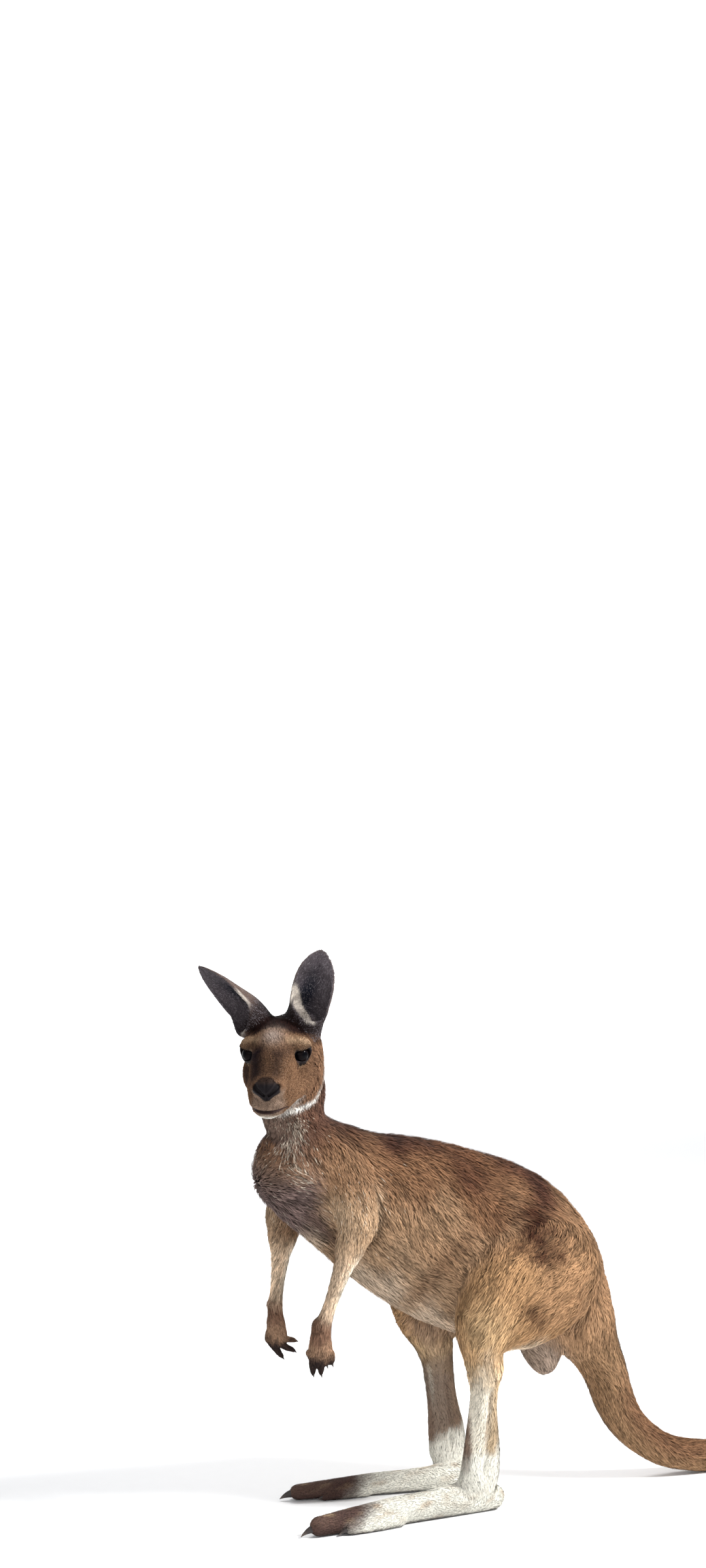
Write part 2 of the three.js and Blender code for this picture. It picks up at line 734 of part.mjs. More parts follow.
// neck, parted from the trunk at its base and from the head behind the jaw
const foreBody = blended(neckAndTrunk, headAlone, BLEND.head);
const neckLine = [[0, -188, 606], [1, -196, 640], [6, -200, 675], [14, -202, 712], [20, -203, 745]];
const neckWhole = wrap(after(before(foreBody, headCut), neckCut), neckLine, ACROSS, NECK_GRID);
pieces.neck = largest(part(part(neckWhole, ...neckCut)[1], ...headCut)[0]);

// head with its eyes and ears
const headLine = [
  [-62, 0, 4],
  [-38, 0, 2],
  [-12, 0, -8],
  [14, 0, -24],
  [40, 0, -38],
  [62, 0, -46],
  [80, 0, -50],
].map(onHead);
let headSolid = wrap(after(foreBody, headCut), headLine, LEFTWARD, HEAD_GRID);
headSolid = largest(part(headSolid, ...headCut)[1]);
const gazeOut = THREE.MathUtils.degToRad(GAZE_OUT);
for (const [name, side] of [["left", 1], ["right", -1]]) {
  const centre = onHead([-EYE_SET_BACK, side * EYE_APART, 0]);
  const gaze = turnOnly([Math.cos(gazeOut), side * Math.sin(gazeOut), 0]);
  const opening = ball(add(centre, scale(gaze, EYE_OPENING.reach)), EYE_OPENING.radius);
  pieces[`eye_${name}`] = ball(centre, EYE_RADIUS);
  headSolid = headSolid.subtract(ball(centre, EYE_RADIUS + GAP)).subtract(opening);
}

function earOf({ base, tip, face, girth }, grow) {
  const [from, to] = [onHead(base), onHead(tip)];
  const along = unit(sub(to, from));
  const facing = turnOnly(face);
  const front = unit(sub(facing, scale(along, dot(facing, along))));
  const wide = cross(front, along);
  const rings = EAR_SECTIONS.map(([t, sectionWidth, halfDepth, shift]) => {
    const halfWidth = sectionWidth * mix(...girth, t);
    const centre = add(between(from, to, t), scale(front, shift));
    const scoop = clamp((t - EAR_SCOOP_FROM) / EAR_SCOOP_RUN, 0, 1);
    const back = [];
    const inner = [];
    for (let column = 0; column < EAR_COLUMNS; column += 1) {
      const angle = (Math.PI * column) / (EAR_COLUMNS - 1);
      const bow = Math.sin(angle);
      const depth = halfDepth * bow;
      const wall = mix(EAR_RIM, EAR_SHELL, bow);
      const stalk = depth + grow + EAR_RIM / 2;
      const onRim = add(centre, scale(wide, Math.cos(angle) * (halfWidth + grow)));
      back.push(add(onRim, scale(front, -stalk)));
      inner.push(add(onRim, scale(front, mix(stalk, wall - depth + grow, scoop))));
    }
    return [...back, ...inner.reverse()];
  });
  return loft(rings);
}
pieces.ear_left = earOf(LEFT_EAR, 0);
pieces.ear_right = earOf(RIGHT_EAR, 0);
headSolid = headSolid.subtract(earOf(LEFT_EAR, EAR_CLEARANCE)).subtract(earOf(RIGHT_EAR, EAR_CLEARANCE));
pieces.head = largest(headSolid);

// claws: a curved cone from inside the digit to the tip, narrower than it is deep
const CLAW = { sides: 5, rows: 2, tipRadius: 0.5, narrow: 0.8, taper: 1.3 };
const CLAW_BACK = [0, 0.3, 1]; // roughly where the back of every claw faces

function claw(from, through, tip, radius) {
  const along = unit(sub(tip, from));
  const side = unit(cross(along, CLAW_BACK));
  const up = cross(side, along);
  const rings = [];
  for (let row = 0; row <= CLAW.rows; row += 1) {
    const t = row / CLAW.rows;
    const centre = between(between(from, through, t), between(through, tip, t), t);
    const thick = mix(radius, CLAW.tipRadius, t ** CLAW.taper);
    const ring = [];
    for (let i = 0; i < CLAW.sides; i += 1) {
      const angle = (2 * Math.PI * i) / CLAW.sides;
      const wide = scale(side, CLAW.narrow * thick * Math.cos(angle));
      ring.push(add(centre, add(wide, scale(up, thick * Math.sin(angle)))));
    }
    rings.push(ring);
  }
  return loft(rings);
}

function addClaw(owner, name, from, through, tip, radius) {
  const shape = (thick) => claw(from, through, tip, thick);
  pieces[name] = shape(radius);
  pieces[owner] = largest(pieces[owner].subtract(shape(radius + GAP)));
}

for (const [name, arm] of [["left", LEFT_ARM], ["right", RIGHT_ARM]]) {
  for (let index = 0; index < FINGER_PLACE.length; index += 1) {
    const { middle: knuckle, tip } = finger(arm, index);
    const along = unit(sub(tip, knuckle));
    const bent = unit(add(along, FINGER_CLAW.droop));
    const end = add(tip, scale(bent, FINGER_CLAW.length));
    const through = add(tip, scale(along, FINGER_CLAW.length * FINGER_CLAW.straight));
    addClaw(`hand_${name}`, `claw_hand_${name}_${index + 1}`, tip, through, end, FINGER_CLAW.radius);
  }
}

for (const [name, leg] of [["left", LEFT_LEG], ["right", RIGHT_LEG]]) {
  for (const [toe, { root, out, height, reach, low, radius }] of Object.entries(TOE_CLAWS)) {
    const top = height * leg.instep;
    const from = onFoot(leg, root, out, top);
    const through = onFoot(leg, mix(root, reach, TOE_CLAW_STRAIGHT), out, top);
    const tip = onFoot(leg, reach, out, low);
    addClaw(`foot_${name}`, `claw_foot_${name}_${toe}`, from, through, tip, radius);
  }
}

// ---- named meshes ------------------------------------------------------------------------------

const COAT = 0x8c6d50;
const PALE_COAT = 0xd9cdb8;
const DARK_COAT = 0x3c2f28;
const PAINTS = [
  [/^eye/, { color: 0x1a110c, roughness: 0.12, metalness: 0 }],
  [/^claw/, { color: 0x35302d, roughness: 0.45, metalness: 0 }],
  [/^ear/, { color: 0x55493f, roughness: 0.9, metalness: 0 }],
  [/^hand/, { color: DARK_COAT, roughness: 0.85, metalness: 0 }],
  [/^(shin|foot|scrotum)/, { color: PALE_COAT, roughness: 0.9, metalness: 0 }],
  [/./, { color: COAT, roughness: 0.9, metalness: 0 }],
];

// pieces are grouped by the limb that they belong to
const LIMBS = [
  /(thigh|shin|foot)_left/,
  /(thigh|shin|foot)_right/,
  /(arm|hand)_left/,
  /(arm|hand)_right/,
  /^tail/,
  /^(head|neck|ear|eye)/,
  /^(trunk|scrotum)/,
];

const kangaroo = new THREE.Group();
kangaroo.name = "western_grey_kangaroo";
kangaroo.position.set(-CENTRE_X, -CENTRE_Y, 0);
kangaroo.add(...LIMBS.map(() => new THREE.Group()));

for (const [name, solid] of Object.entries(pieces)) {
  const mesh = solid.getMesh();
  const geometry = new THREE.BufferGeometry();
  geometry.setAttribute("position", new THREE.BufferAttribute(mesh.vertProperties, 3));
  geometry.setIndex(new THREE.BufferAttribute(mesh.triVerts, 1));
  geometry.computeBoundingBox();
  const middle = geometry.boundingBox.getCenter(new THREE.Vector3());
  geometry.translate(-middle.x, -middle.y, -middle.z);
  const [, paint] = PAINTS.find(([pattern]) => pattern.test(name));
  const node = new THREE.Mesh(geometry, new THREE.MeshStandardMaterial(paint));
  node.name = name;
  node.position.copy(middle);
  kangaroo.children[LIMBS.findIndex((limbName) => limbName.test(name))].add(node);
}

export default kangaroo;
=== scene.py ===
# A young male western grey kangaroo, life size, standing crouched with its head turned to its left.
# It faces -Y, its left side is +X and it stands on z = 0.
import json
import time

import bpy
import numpy as np
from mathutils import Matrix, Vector

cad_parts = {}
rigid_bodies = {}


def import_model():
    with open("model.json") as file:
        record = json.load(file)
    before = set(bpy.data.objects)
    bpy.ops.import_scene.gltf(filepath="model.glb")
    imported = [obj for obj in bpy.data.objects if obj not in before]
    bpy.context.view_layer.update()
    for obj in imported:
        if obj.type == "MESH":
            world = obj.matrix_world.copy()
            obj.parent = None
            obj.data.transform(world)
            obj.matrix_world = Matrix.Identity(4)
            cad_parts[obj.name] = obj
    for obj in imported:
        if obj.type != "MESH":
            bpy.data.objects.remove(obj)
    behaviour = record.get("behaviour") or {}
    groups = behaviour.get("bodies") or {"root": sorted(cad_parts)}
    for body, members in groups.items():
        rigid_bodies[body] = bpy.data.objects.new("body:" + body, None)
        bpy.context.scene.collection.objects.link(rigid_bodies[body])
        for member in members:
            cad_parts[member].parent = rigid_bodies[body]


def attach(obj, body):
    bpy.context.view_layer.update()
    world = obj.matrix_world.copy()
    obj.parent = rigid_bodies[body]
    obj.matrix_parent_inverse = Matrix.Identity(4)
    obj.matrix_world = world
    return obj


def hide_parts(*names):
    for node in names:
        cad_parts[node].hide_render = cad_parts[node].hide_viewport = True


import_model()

startTime = time.time()
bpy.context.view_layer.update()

# The tables below are in millimetres, round a point on the floor between the ankles.
frameOrigin = np.array([3.05, 349.76, 0.0])
millimetre = 0.001
farAway = 60.0                     # distances to a part are not followed further than this
huge = 1e9
mapMargins = (20, 60)              # room on the coat's map before the start of a part and past its end
acrossBody = np.array([1.0, 0.0, 0.0])
sides = ("left", "right")


def say(text):
    print(f"{time.time() - startTime:6.1f} s  {text}")


def unit(vectors):
    vectors = np.asarray(vectors, float)
    return vectors / np.maximum(np.linalg.norm(vectors, axis=-1, keepdims=True), 1e-9)


def dots(first, second):
    return (first * second).sum(-1)


def mix(first, second, t):
    return first + (second - first) * t


def ramp(values, start, end):      # 0 at start, 1 at end, smooth between
    t = np.clip((values - start) / (end - start), 0, 1)
    return t * t * (3 - 2 * t)


def bell(values, width, power=2):  # 1 at zero, falling off on both sides
    return np.exp(-(values / width) ** power)


def spot(points, centre, radius):
    return np.exp(-((points - np.array(centre, float)) ** 2).sum(1) / radius ** 2)


def toPath(points, path):          # distance to a line of straight pieces, and how far along it
    path = np.array(path, float)
    best, place = np.full(len(points), huge), np.zeros(len(points))
    for i, step in enumerate(np.diff(path, axis=0)):
        t = np.clip((points - path[i]) @ step / (step @ step), 0, 1)
        found = np.linalg.norm(points - path[i] - t[:, None] * step, axis=1)
        closer = found < best
        best[closer], place[closer] = found[closer], (i + t[closer]) / (len(path) - 1)
    return best, place


def band(points, path, width):
    return bell(toPath(points, path)[0], width)


def bothSides(points, axis=0):     # one side laid over the other
    mirrored = points.copy()
    mirrored[:, axis] = np.abs(mirrored[:, axis])
    return mirrored


def waves(points, size, seed):     # smooth random swell from about -1 to 1
    rng = np.random.default_rng(seed)
    total = 0
    for _ in range(7):
        along = unit(rng.normal(size=3)) * 2 * np.pi / (size * rng.uniform(0.7, 1.5))
        total = total + np.sin(points @ along + rng.uniform(0, 2 * np.pi))
    return total / 2.6


def grid(*ranges):                 # every combination of whole numbers
    return np.stack(np.meshgrid(*ranges, indexing="ij"), -1).reshape(-1, 3)


def joined(near, far, blend):      # the smaller of two distances with a soft join, and the share of the first
    t = np.clip(0.5 + (far - near) / (2 * blend), 0, 1)
    return mix(far, near, t) - blend * t * (1 - t), t


def cutBy(near, far, blend):       # the larger of two distances with a soft join
    return -joined(-near, -far, blend)[0]


# the body as a distance function: under 0 inside the tips of the coat
def smoothLine(sections, steps):
    sections = np.asarray(sections, float)
    line = []
    last = len(sections) - 1
    for i in range(last):
        before, start = sections[max(i - 1, 0)], sections[i]
        end, after = sections[i + 1], sections[min(i + 2, last)]
        for t in np.arange(steps) / steps:
            bend = (2 * before - 5 * start + 4 * end - after) * t ** 2
            twist = (3 * start - before - 3 * end + after) * t ** 3
            line.append(0.5 * (2 * start + (end - before) * t + bend + twist))
    return np.array([*line, sections[last]])


def roundDistance(radius, stretched, thinnest):
    return np.where(stretched < 1e-3, -thinnest, radius * (1 - 1 / np.maximum(stretched, 1e-3)))


class Sweep:
    # sections are [x, y, z, half width, half depth]; the coat is (depth at the start, at the end)
    def __init__(self, sections, coat, across=acrossBody, steps=3, lie=1):
        line = smoothLine(sections, steps)
        self.starts, self.ends = line[:-1], line[1:]
        reach = self.ends[:, :3] - self.starts[:, :3]
        self.lengths = np.linalg.norm(reach, axis=1)
        self.along = unit(reach)
        self.side = unit(across - self.along * (self.along @ across)[:, None])
        self.up = np.cross(self.along, self.side)
        self.coat = np.linspace(*coat, len(line))
        self.lie = self.along * lie
        grow = line[:, 3:].max() + farAway
        self.low, self.high = line[:, :3].min(0) - grow, line[:, :3].max(0) + grow

    def nearest(self, points):
        best = np.full(len(points), huge)
        span = np.zeros(len(points), int)
        place = np.zeros(len(points))
        for i, length in enumerate(self.lengths):
            offset = points - self.starts[i, :3]
            reach = offset @ self.along[i]
            t = np.clip(reach / length, 0, 1)
            wide, deep = [mix(self.starts[i, k], self.ends[i, k], t) for k in (3, 4)]
            x, y = offset @ self.side[i], offset @ self.up[i]
            past = reach - t * length
            radius = np.sqrt(x * x + y * y + past * past)
            stretched = np.sqrt((x / wide) ** 2 + (y / deep) ** 2 + (2 * past / (wide + deep)) ** 2)
            found = roundDistance(radius, stretched, np.minimum(wide, deep))
            closer = found < best
            best[closer], span[closer], place[closer] = found[closer], i, t[closer]
        return best, span, place

    def at(self, points, withLie):
        distance, span, place = self.nearest(points)
        extra = [mix(self.coat[span], self.coat[span + 1], place)[:, None]]
        if withLie:
            extra.append(self.lie[span])
        return np.minimum(distance, farAway), np.hstack(extra)

    def placeOn(self, points):     # how far along it a point is, and how far under its middle in half depths
        _, span, place = self.nearest(points)
        deep = mix(self.starts[span, 4], self.ends[span, 4], place)
        return (span + place) / len(self.lengths), dots(points - self.starts[span, :3], self.up[span]) / deep

    def unwrap(self, points):      # how far along it a point is and how far round, each 0 to 1
        _, span, _ = self.nearest(points)
        offset = points - self.starts[span, :3]
        turn = np.arctan2(dots(offset, self.up[span]), dots(offset, self.side[span]))
        ahead = np.concatenate([[0], np.cumsum(self.lengths)])
        before, after = mapMargins
        past = np.clip(dots(offset, self.along[span]), -before, self.lengths[span] + after)
        along = (ahead[span] + past + before) / (ahead[-1] + before + after)
        return np.stack([along, turn / (2 * np.pi) + 0.5], 1)


class Ball:
    def __init__(self, centre, radii, coat):
        self.centre, self.radii, self.coat = onHead(centre), np.array(radii, float), coat
        grow = max(radii) + farAway
        self.low, self.high = self.centre - grow, self.centre + grow

    def at(self, points, withLie):
        local = (points - self.centre) @ headAxes.T
        distance = roundDistance(np.linalg.norm(local, axis=1), np.linalg.norm(local / self.radii, axis=1),
                                 self.radii.min())
        extra = np.tile([self.coat, *faceLie] if withLie else [self.coat], (len(points), 1))
        return np.minimum(distance, farAway), extra


class Group:
    # parts run into one another: Group(first, (next, softness), ...)
    def __init__(self, first, *others):
        self.first, self.others = first, others
        parts = [first, *[part for part, _ in others]]
        self.low = np.min([part.low for part in parts], axis=0)
        self.high = np.max([part.high for part in parts], axis=0)

    def at(self, points, withLie=False):
        distance, extra = partAt(self.first, points, withLie)
        for part, blend in self.others:
            far, farExtra = partAt(part, points, withLie)
            distance, t = joined(distance, far, blend)
            extra = mix(farExtra, extra, t[:, None])
        return distance, extra


def partAt(part, points, withLie=False):     # leaves out the points that are far from the part
    distance = np.full(len(points), farAway)
    extra = np.zeros((len(points), 4 if withLie else 1))
    near = np.all((points > part.low) & (points < part.high), axis=1)
    if near.any():
        distance[near], extra[near] = part.at(points[near], withLie)
    return distance, extra


softness = {
    "neck": 26, "tail": 25, "leg": 26, "arm": 16, "scrotum": 14, "shin": 14, "foot": 21, "forearm": 12,
    "palm": 8, "finger": 4, "toe": 6, "head": 22, "jaw": 12, "cheek": 14, "socket": 10, "nose": 8, "ear": 9,
}
soleSink = 1.6
tailHeight = 28 - soleSink

trunk = Sweep([
    [0, -206, 557, 63, 66],        # breast
    [0, -166, 552, 72, 91],        # shoulders
    [0, -95, 513, 84, 107],        # girth behind the elbows
    [0, -21, 479, 94, 130],        # ribs
    [0, 67, 440, 104, 146],        # loin
    [0, 165, 403, 108, 146],       # hips
    [0, 237, 371, 98, 114], [0, 282, 326, 75, 82],
    [0, 315, 276, 54, 58],         # under the tail
], (8, 8))
neck = Sweep([
    [0, -186, 590, 56, 63], [0, -195, 628, 48, 48], [4, -206, 665, 45, 55], [12, -203, 700, 46, 51],
    [20, -203, 740, 44, 44], [24, -203, 782, 37, 38],
], (8, 5), lie=-1)
tail = Sweep([
    [0, 303, 302, 58, 60], [0, 335, 248, 46, 50], [0, 364, 193, 39, 40.5], [0, 383, 141, 36, 37],
    [0, 406, 100, 33, 33.5], [1, 441, 67, 31, 31], [4, 489, 40, 29.5, 29],
    [7, 565, tailHeight, 28, 28],  # comes to lie on the floor
    [9, 680, tailHeight - 2.5, 25, 25.5], [12, 800, tailHeight - 6.2, 21, 21.8],
    [18, 910, tailHeight - 10.2, 17, 17.8], [28, 1000, tailHeight - 14.8, 12.5, 13.2],
    [35, 1045, tailHeight - 19.7, 7.5, 8.3],
], (6, 2.5))
scrotum = Sweep([[0, 238, 262, 36, 40], [0, 247, 234, 31, 34.5], [0, 252, 213, 20, 24]], (3, 2))

# side is 1 for the left leg and -1 for the right; back is how far the ankle is set back
legs = {
    "left": {"side": 1, "back": 0, "toeIn": 0, "knee": 0.9, "calf": 0.92, "heel": [74, 120], "yaw": 5,
             "length": 1.01, "instep": 1.08},
    "right": {"side": -1, "back": 25, "toeIn": 5, "knee": 1.26, "calf": 1.08, "heel": [-58, 152], "yaw": 8.4,
              "length": 0.97, "instep": 0.88},
}
footLength, kneeHeight, ankleHeight = 317, 240, 62


def thighOf(leg):
    rows = [[60, 258, 366, 50, 78], [84, 212, 374, 52, 98], [98, 150, 356, 50, 97],
            [102, 99, 318, 44, 70 * leg["knee"]], [100, 88, 278, 38, 44 * leg["knee"]],
            [96, 95, kneeHeight, 32, 31]]
    return Sweep([[leg["side"] * x, *row] for x, *row in rows], (8, 5))


def shinOf(leg):                   # the lower rows hold the shin bone with the heel tendon behind
    calf = leg["calf"]
    rows = [[97, 95, kneeHeight, 31, 31 * calf], [96, 94, 222, 28, 29 * calf], [95, 91, 184, 23.5, 25.5 * calf],
            [93, 90, 140, 20, 28], [91, 90, 100, 19, 33], [88, 87, ankleHeight, 19, 35]]
    return Sweep([[leg["side"] * (x - leg["toeIn"]), y + leg["back"] * ankleShare(z), z, *half]
                  for x, y, z, *half in rows], (4.5, 2.5))


def ankleShare(z):                 # 0 at the knee, 1 at the ankle
    return (kneeHeight - z) / (kneeHeight - ankleHeight)


def onFoot(leg, along, out, z):    # along from heel to toe, out towards the little toe
    turn = np.radians(leg["yaw"])
    reach = along * footLength * leg["length"]
    x = leg["heel"][0] + leg["side"] * (reach * np.sin(turn) + out * np.cos(turn))
    return [x, leg["heel"][1] - reach * np.cos(turn) + out * np.sin(turn), z]


def footOf(leg):                   # rows of place along, place out, half width, half depth
    def toe(rows, coat):
        return Sweep([[*onFoot(leg, along, out, deep * leg["instep"] - soleSink), wide, deep * leg["instep"]]
                      for along, out, wide, deep in rows], coat)
    main = toe([[0, 0, 17, 20], [0.08, 0, 19, 24.5], [0.19, 0, 19.5, 25], [0.38, 0, 19.5, 22.5],
                [0.57, 0, 19.5, 21.5], [0.76, 0, 18.5, 19], [0.9, 0, 16.5, 17], [1, 0, 14.5, 15.5]], (2.5, 1.5))
    outer = toe([[0.57, 15, 10, 12], [0.73, 19, 9, 11.5], [0.85, 18, 8, 9.5]], (2, 1.5))
    inner = toe([[0.63, -13, 8, 10.5], [0.76, -17, 7, 8.5], [0.86, -17, 6, 7]], (2, 1.5))
    return Group(main, (outer, softness["toe"]), (inner, softness["toe"])), main


# palm and spread: the ways the palm and its width point; curl: where the finger tips swing to,
# curls: how far each does; bow: how far the knuckles stand out; reaches: finger tips from the wrist
arms = {
    "left": {"shoulder": [46, -150, 575], "mid": [70, -132, 530], "elbow": [86, -124, 484],
             "wrist": [73, -184, 312], "palm": [0, -0.02, -1], "spread": [0.39, 0.92, 0], "wristDepth": 15,
             "curl": [0, 0.04, 0], "curls": [17, 25, 10, 7, 6], "bow": 0, "reaches": [33, 63, 63, 49, 47]},
    "right": {"shoulder": [-46, -165, 575], "mid": [-68, -178, 528], "elbow": [-82, -183, 474],
              "wrist": [-75, -204, 320], "palm": [0, 0.1, -1], "spread": [-0.8, -0.35, 0], "wristDepth": 11,
              "curl": [0, 1, 0], "curls": [17, 17, 5, 4, 4], "bow": 5, "reaches": [47, 64, 74, 66, 56]},
}
fingers = {"place": [-15, -10.5, 1, 8.5, 15.5], "fan": 1.15, "middle": 0.6, "curl": 0.15,
           "girth": [8, 7.3, 4.6], "palm": 34}


def fingerLine(arm, index):
    wrist, palm, spread, curl = [np.array(arm[key], float) for key in ("wrist", "palm", "spread", "curl")]
    across = fingers["place"][index]
    root = wrist + palm * fingers["palm"] + spread * across
    down = wrist + palm * arm["reaches"][index] + spread * across * fingers["fan"]
    bend = arm["curls"][index] * fingers["curl"] - arm["bow"]
    return [root, mix(root, down, fingers["middle"]) + curl * bend, down + curl * arm["curls"][index]]


def armOf(arm):
    elbow, wrist, palm, spread = [np.array(arm[key], float) for key in ("elbow", "wrist", "palm", "spread")]
    depth = arm["wristDepth"]

    def hand(*rows):
        return [[*(wrist + palm * reach), *half] for reach, *half in rows]
    upper = Sweep([[*arm["shoulder"], 28, 37], [*arm["mid"], 32, 39], [*arm["elbow"], 27, 32]], (7, 5))
    rows = [(0.02, 25, 30), (0.2, 22, 27), (0.4, 16, 17.5), (0.64, 12, 12.5), (0.83, 11, 11.5),
            (1, 11.5, depth)]
    forearm = Sweep([[*mix(elbow, wrist, t), *half] for t, *half in rows], (4.5, 2))
    palmSweep = Sweep(hand((-12, 11.5, depth), (2, 11, depth), (18, 12, 19), (33, 11.5, 19.5)), (2, 1.5),
                      np.cross(palm, spread))
    digits = [(Sweep([[*point, girth, girth] for point, girth in zip(fingerLine(arm, index), fingers["girth"])],
                     (1.5, 1.2), steps=2), softness["finger"]) for index in range(5)]
    whole = Group(palmSweep, *digits)
    return {"whole": Group(upper, (forearm, softness["forearm"]), (whole, softness["palm"])), "upperArm": upper,
            "forearm": forearm, "hand": whole, "handGuide": Sweep(hand((-10, 12, 14), (80, 12, 14)), (1, 1))}


# the head has its own axes: forward along the face, towards its left, and up
eyesMiddle = np.array([62.0, -257.0, 753.0])
faceTurn = np.radians(30)
headAxes = np.array([[np.cos(faceTurn), -np.sin(faceTurn), 0], [np.sin(faceTurn), np.cos(faceTurn), 0],
                     [0, 0, 1]])
faceLie = -headAxes[0] * 0.9 + np.array([0, 0, -0.3])
eye = {"radius": 14.6, "apart": 38, "back": 1, "gaze": 45, "wide": 13.4, "above": 10.6, "below": 10.2,
       "slant": 0.1, "lid": 2.2, "lowerLid": 1.2, "lidSoftness": 6, "edge": 1.0, "corner": 2.1, "cut": 1.3,
       "fold": 1.62, "foldWidth": 0.13, "foldDepth": 1.1}
gaze = np.radians(eye["gaze"])


def onHead(point):
    return eyesMiddle + np.asarray(point, float) @ headAxes


def headLocal(points):
    return (points - eyesMiddle) @ headAxes.T


def headSweep(sections, coat):
    return Sweep([[*onHead(row[:3]), *row[3:]] for row in sections], coat, headAxes[1], lie=-1)


skull = headSweep([
    [-66, 0, 8, 42, 38], [-42, 0, 9, 49, 45], [-10, 0, 3, 48.5, 43], [20, 0, -12, 40, 37], [50, 0, -28, 34, 30],
    [68, 0, -38, 29, 24], [80, 0, -43, 24, 19],
], (5, 1.2))
jaw = headSweep([
    [-48, 0, -34, 51, 34], [-15, 0, -46, 49, 36], [25, 0, -58, 41, 29], [55, 0, -67, 33, 24],
    [73, 0, -73, 24, 20],
], (5, 1.5))

# girth is how much wider than the sections the ear is at its foot and at its tip
ears = {
    "left": {"base": [-52, 36, 38], "tip": [-55, 66, 158], "face": [0.9, 0.35, 0], "girth": [1, 1.07]},
    "right": {"base": [-52, -29, 42], "tip": [-30, -127, 133], "face": [0.64, -0.5, -0.58],
              "girth": [1.16, 0.9]},
}
# up the ear from foot to tip: place, half width, half depth, how far its middle is set forward
earSections = np.array([
    (-0.06, 21, 20, 2), (0.12, 27, 31, 7), (0.27, 31.5, 34, 9.5), (0.4, 33.5, 28, 8), (0.54, 33.5, 20, 5),
    (0.68, 31, 13.5, 2.5), (0.8, 25.5, 9.5, 1.5), (0.9, 17.5, 6.5, 0.8), (0.97, 9.5, 4.5, 0.3), (1, 4, 3, 0),
])
earWall = {"coat": 0.8, "rim": 5.4, "back": 6, "scoop": 6, "tip": 0.9, "edge": 0.8, "closed": 36}


class EarCup:                      # an outer shell less an inner one, cut off along its rims
    def __init__(self, ear):
        self.base, tip = onHead(ear["base"]), onHead(ear["tip"])
        self.along, self.length = unit(tip - self.base), np.linalg.norm(tip - self.base)
        facing = np.array(ear["face"]) @ headAxes
        self.front = unit(facing - self.along * (self.along @ facing))
        self.wide = np.cross(self.front, self.along)

        def placed(t, halfWidth, halfDepth, shift):
            centre = self.base + self.along * self.length * t + self.front * shift
            return [*centre, halfWidth * mix(*ear["girth"], t), halfDepth]
        inner = [placed(0.13, 12, 9, 14)]
        for t, w, d, shift in earSections[2:-1]:
            deep = max(d - earWall["back"], earWall["scoop"])
            shift += deep - d + earWall["back"]
            inner.append(placed(t * earWall["tip"], w - earWall["rim"], deep, shift))
        self.outer = Sweep([placed(*row) for row in earSections], [earWall["coat"]] * 2, self.wide, 5)
        self.inner = Sweep(inner, (0, 0), self.wide, 5)
        self.low, self.high = self.outer.low, self.outer.high

    def place(self, points):       # how far up the ear, and how far in front of its middle
        offset = points - self.base
        up = offset @ self.along / self.length
        return up, offset @ self.front - np.interp(up, earSections[:, 0], earSections[:, 3])

    def at(self, points, withLie):
        outer, extra = self.outer.at(points, withLie)
        inner, _ = self.inner.at(points, False)
        up, ahead = self.place(points)
        cup = np.maximum(outer, ahead - (1 - ramp(up, 0.02, 0.34)) * earWall["closed"])
        return np.minimum(cutBy(-inner, cup, earWall["edge"]), farAway), extra


earCups = {name: EarCup(ear) for name, ear in ears.items()}
plainHead = Group(
    skull, (jaw, softness["jaw"]),
    *[(Ball([-36, side * 30, -32], [36, 29, 36], 5), softness["cheek"]) for side in (1, -1)],
    *[(Ball([-4, side * 41, 8], [26, 18, 20], 2.5), softness["socket"]) for side in (1, -1)],
    (Ball([77, 0, -42], [23, 27, 18], 1), softness["nose"]),
)
thighs, shins, feet = [[build(leg) for leg in legs.values()] for build in (thighOf, shinOf, footOf)]
armParts = [armOf(arm) for arm in arms.values()]
body = Group(
    trunk, (neck, softness["neck"]), (tail, softness["tail"]),
    *[(Group(thigh, (shin, softness["shin"]), (foot, softness["foot"])), softness["leg"])
      for thigh, shin, (foot, _) in zip(thighs, shins, feet)],
    *[(parts["whole"], softness["arm"]) for parts in armParts], (scrotum, softness["scrotum"]),
    (Group(plainHead, *[(cup, softness["ear"]) for cup in earCups.values()]), softness["head"]),
)

# hollows of the skin: centre [x outwards, y, z], radius, depth; the last is the back of the knee
bodyHollows = [
    [[112, 158, 466], 30, 4], [[138, 182, 428], 22, 4], [[146, 168, 334], 20, 3], [[96, 26, 430], 26, 4],
    [[74, 8, 372], 24, 4], [[64, -70, 560], 34, 3], [[97, 128, 234], 24, 9],
]
face = {
    "nostril": [[3.5, -54.5], [7.5, -51], [12, -47], [16.5, -42.5], [18, -40]], "nostrilWidth": 2.7,
    "nostrilDepth": 3.6, "mouth": -79.5, "mouthRise": 0.0055, "mouthFrom": 56, "mouthDepth": 2.4,
    "mouthWidth": 1.3, "pad": [21.5, -45.5, 18.5], "padFrom": 82, "padPower": 2.4, "philtrumDepth": 1.2,
}
shinGroove = {"place": 86, "lower": 7, "depth": 5, "width": 5.5, "outside": 40, "reach": 40}
soleHeight = 0.8
beyond = 9.0                       # stands for well outside a shape that is 1 at its edge


def eyeShape(local):
    # 1 on the edge of the lids and growing outwards; also the distance from the eyeball's centre
    forward, out, up = local[:, 0] + eye["back"], np.abs(local[:, 1]) - eye["apart"], local[:, 2]
    ahead = forward * np.cos(gaze) + out * np.sin(gaze)
    along = forward * np.sin(gaze) - out * np.cos(gaze)       # towards the nose
    lift = up + eye["slant"] * along
    tall = np.where(lift > 0, eye["above"], eye["below"])
    power = eye["corner"]
    shape = (np.abs(along / eye["wide"]) ** power + np.abs(lift / tall) ** power) ** (1 / power)
    return np.where(ahead > 1, shape, beyond), np.sqrt(forward ** 2 + out ** 2 + up ** 2)


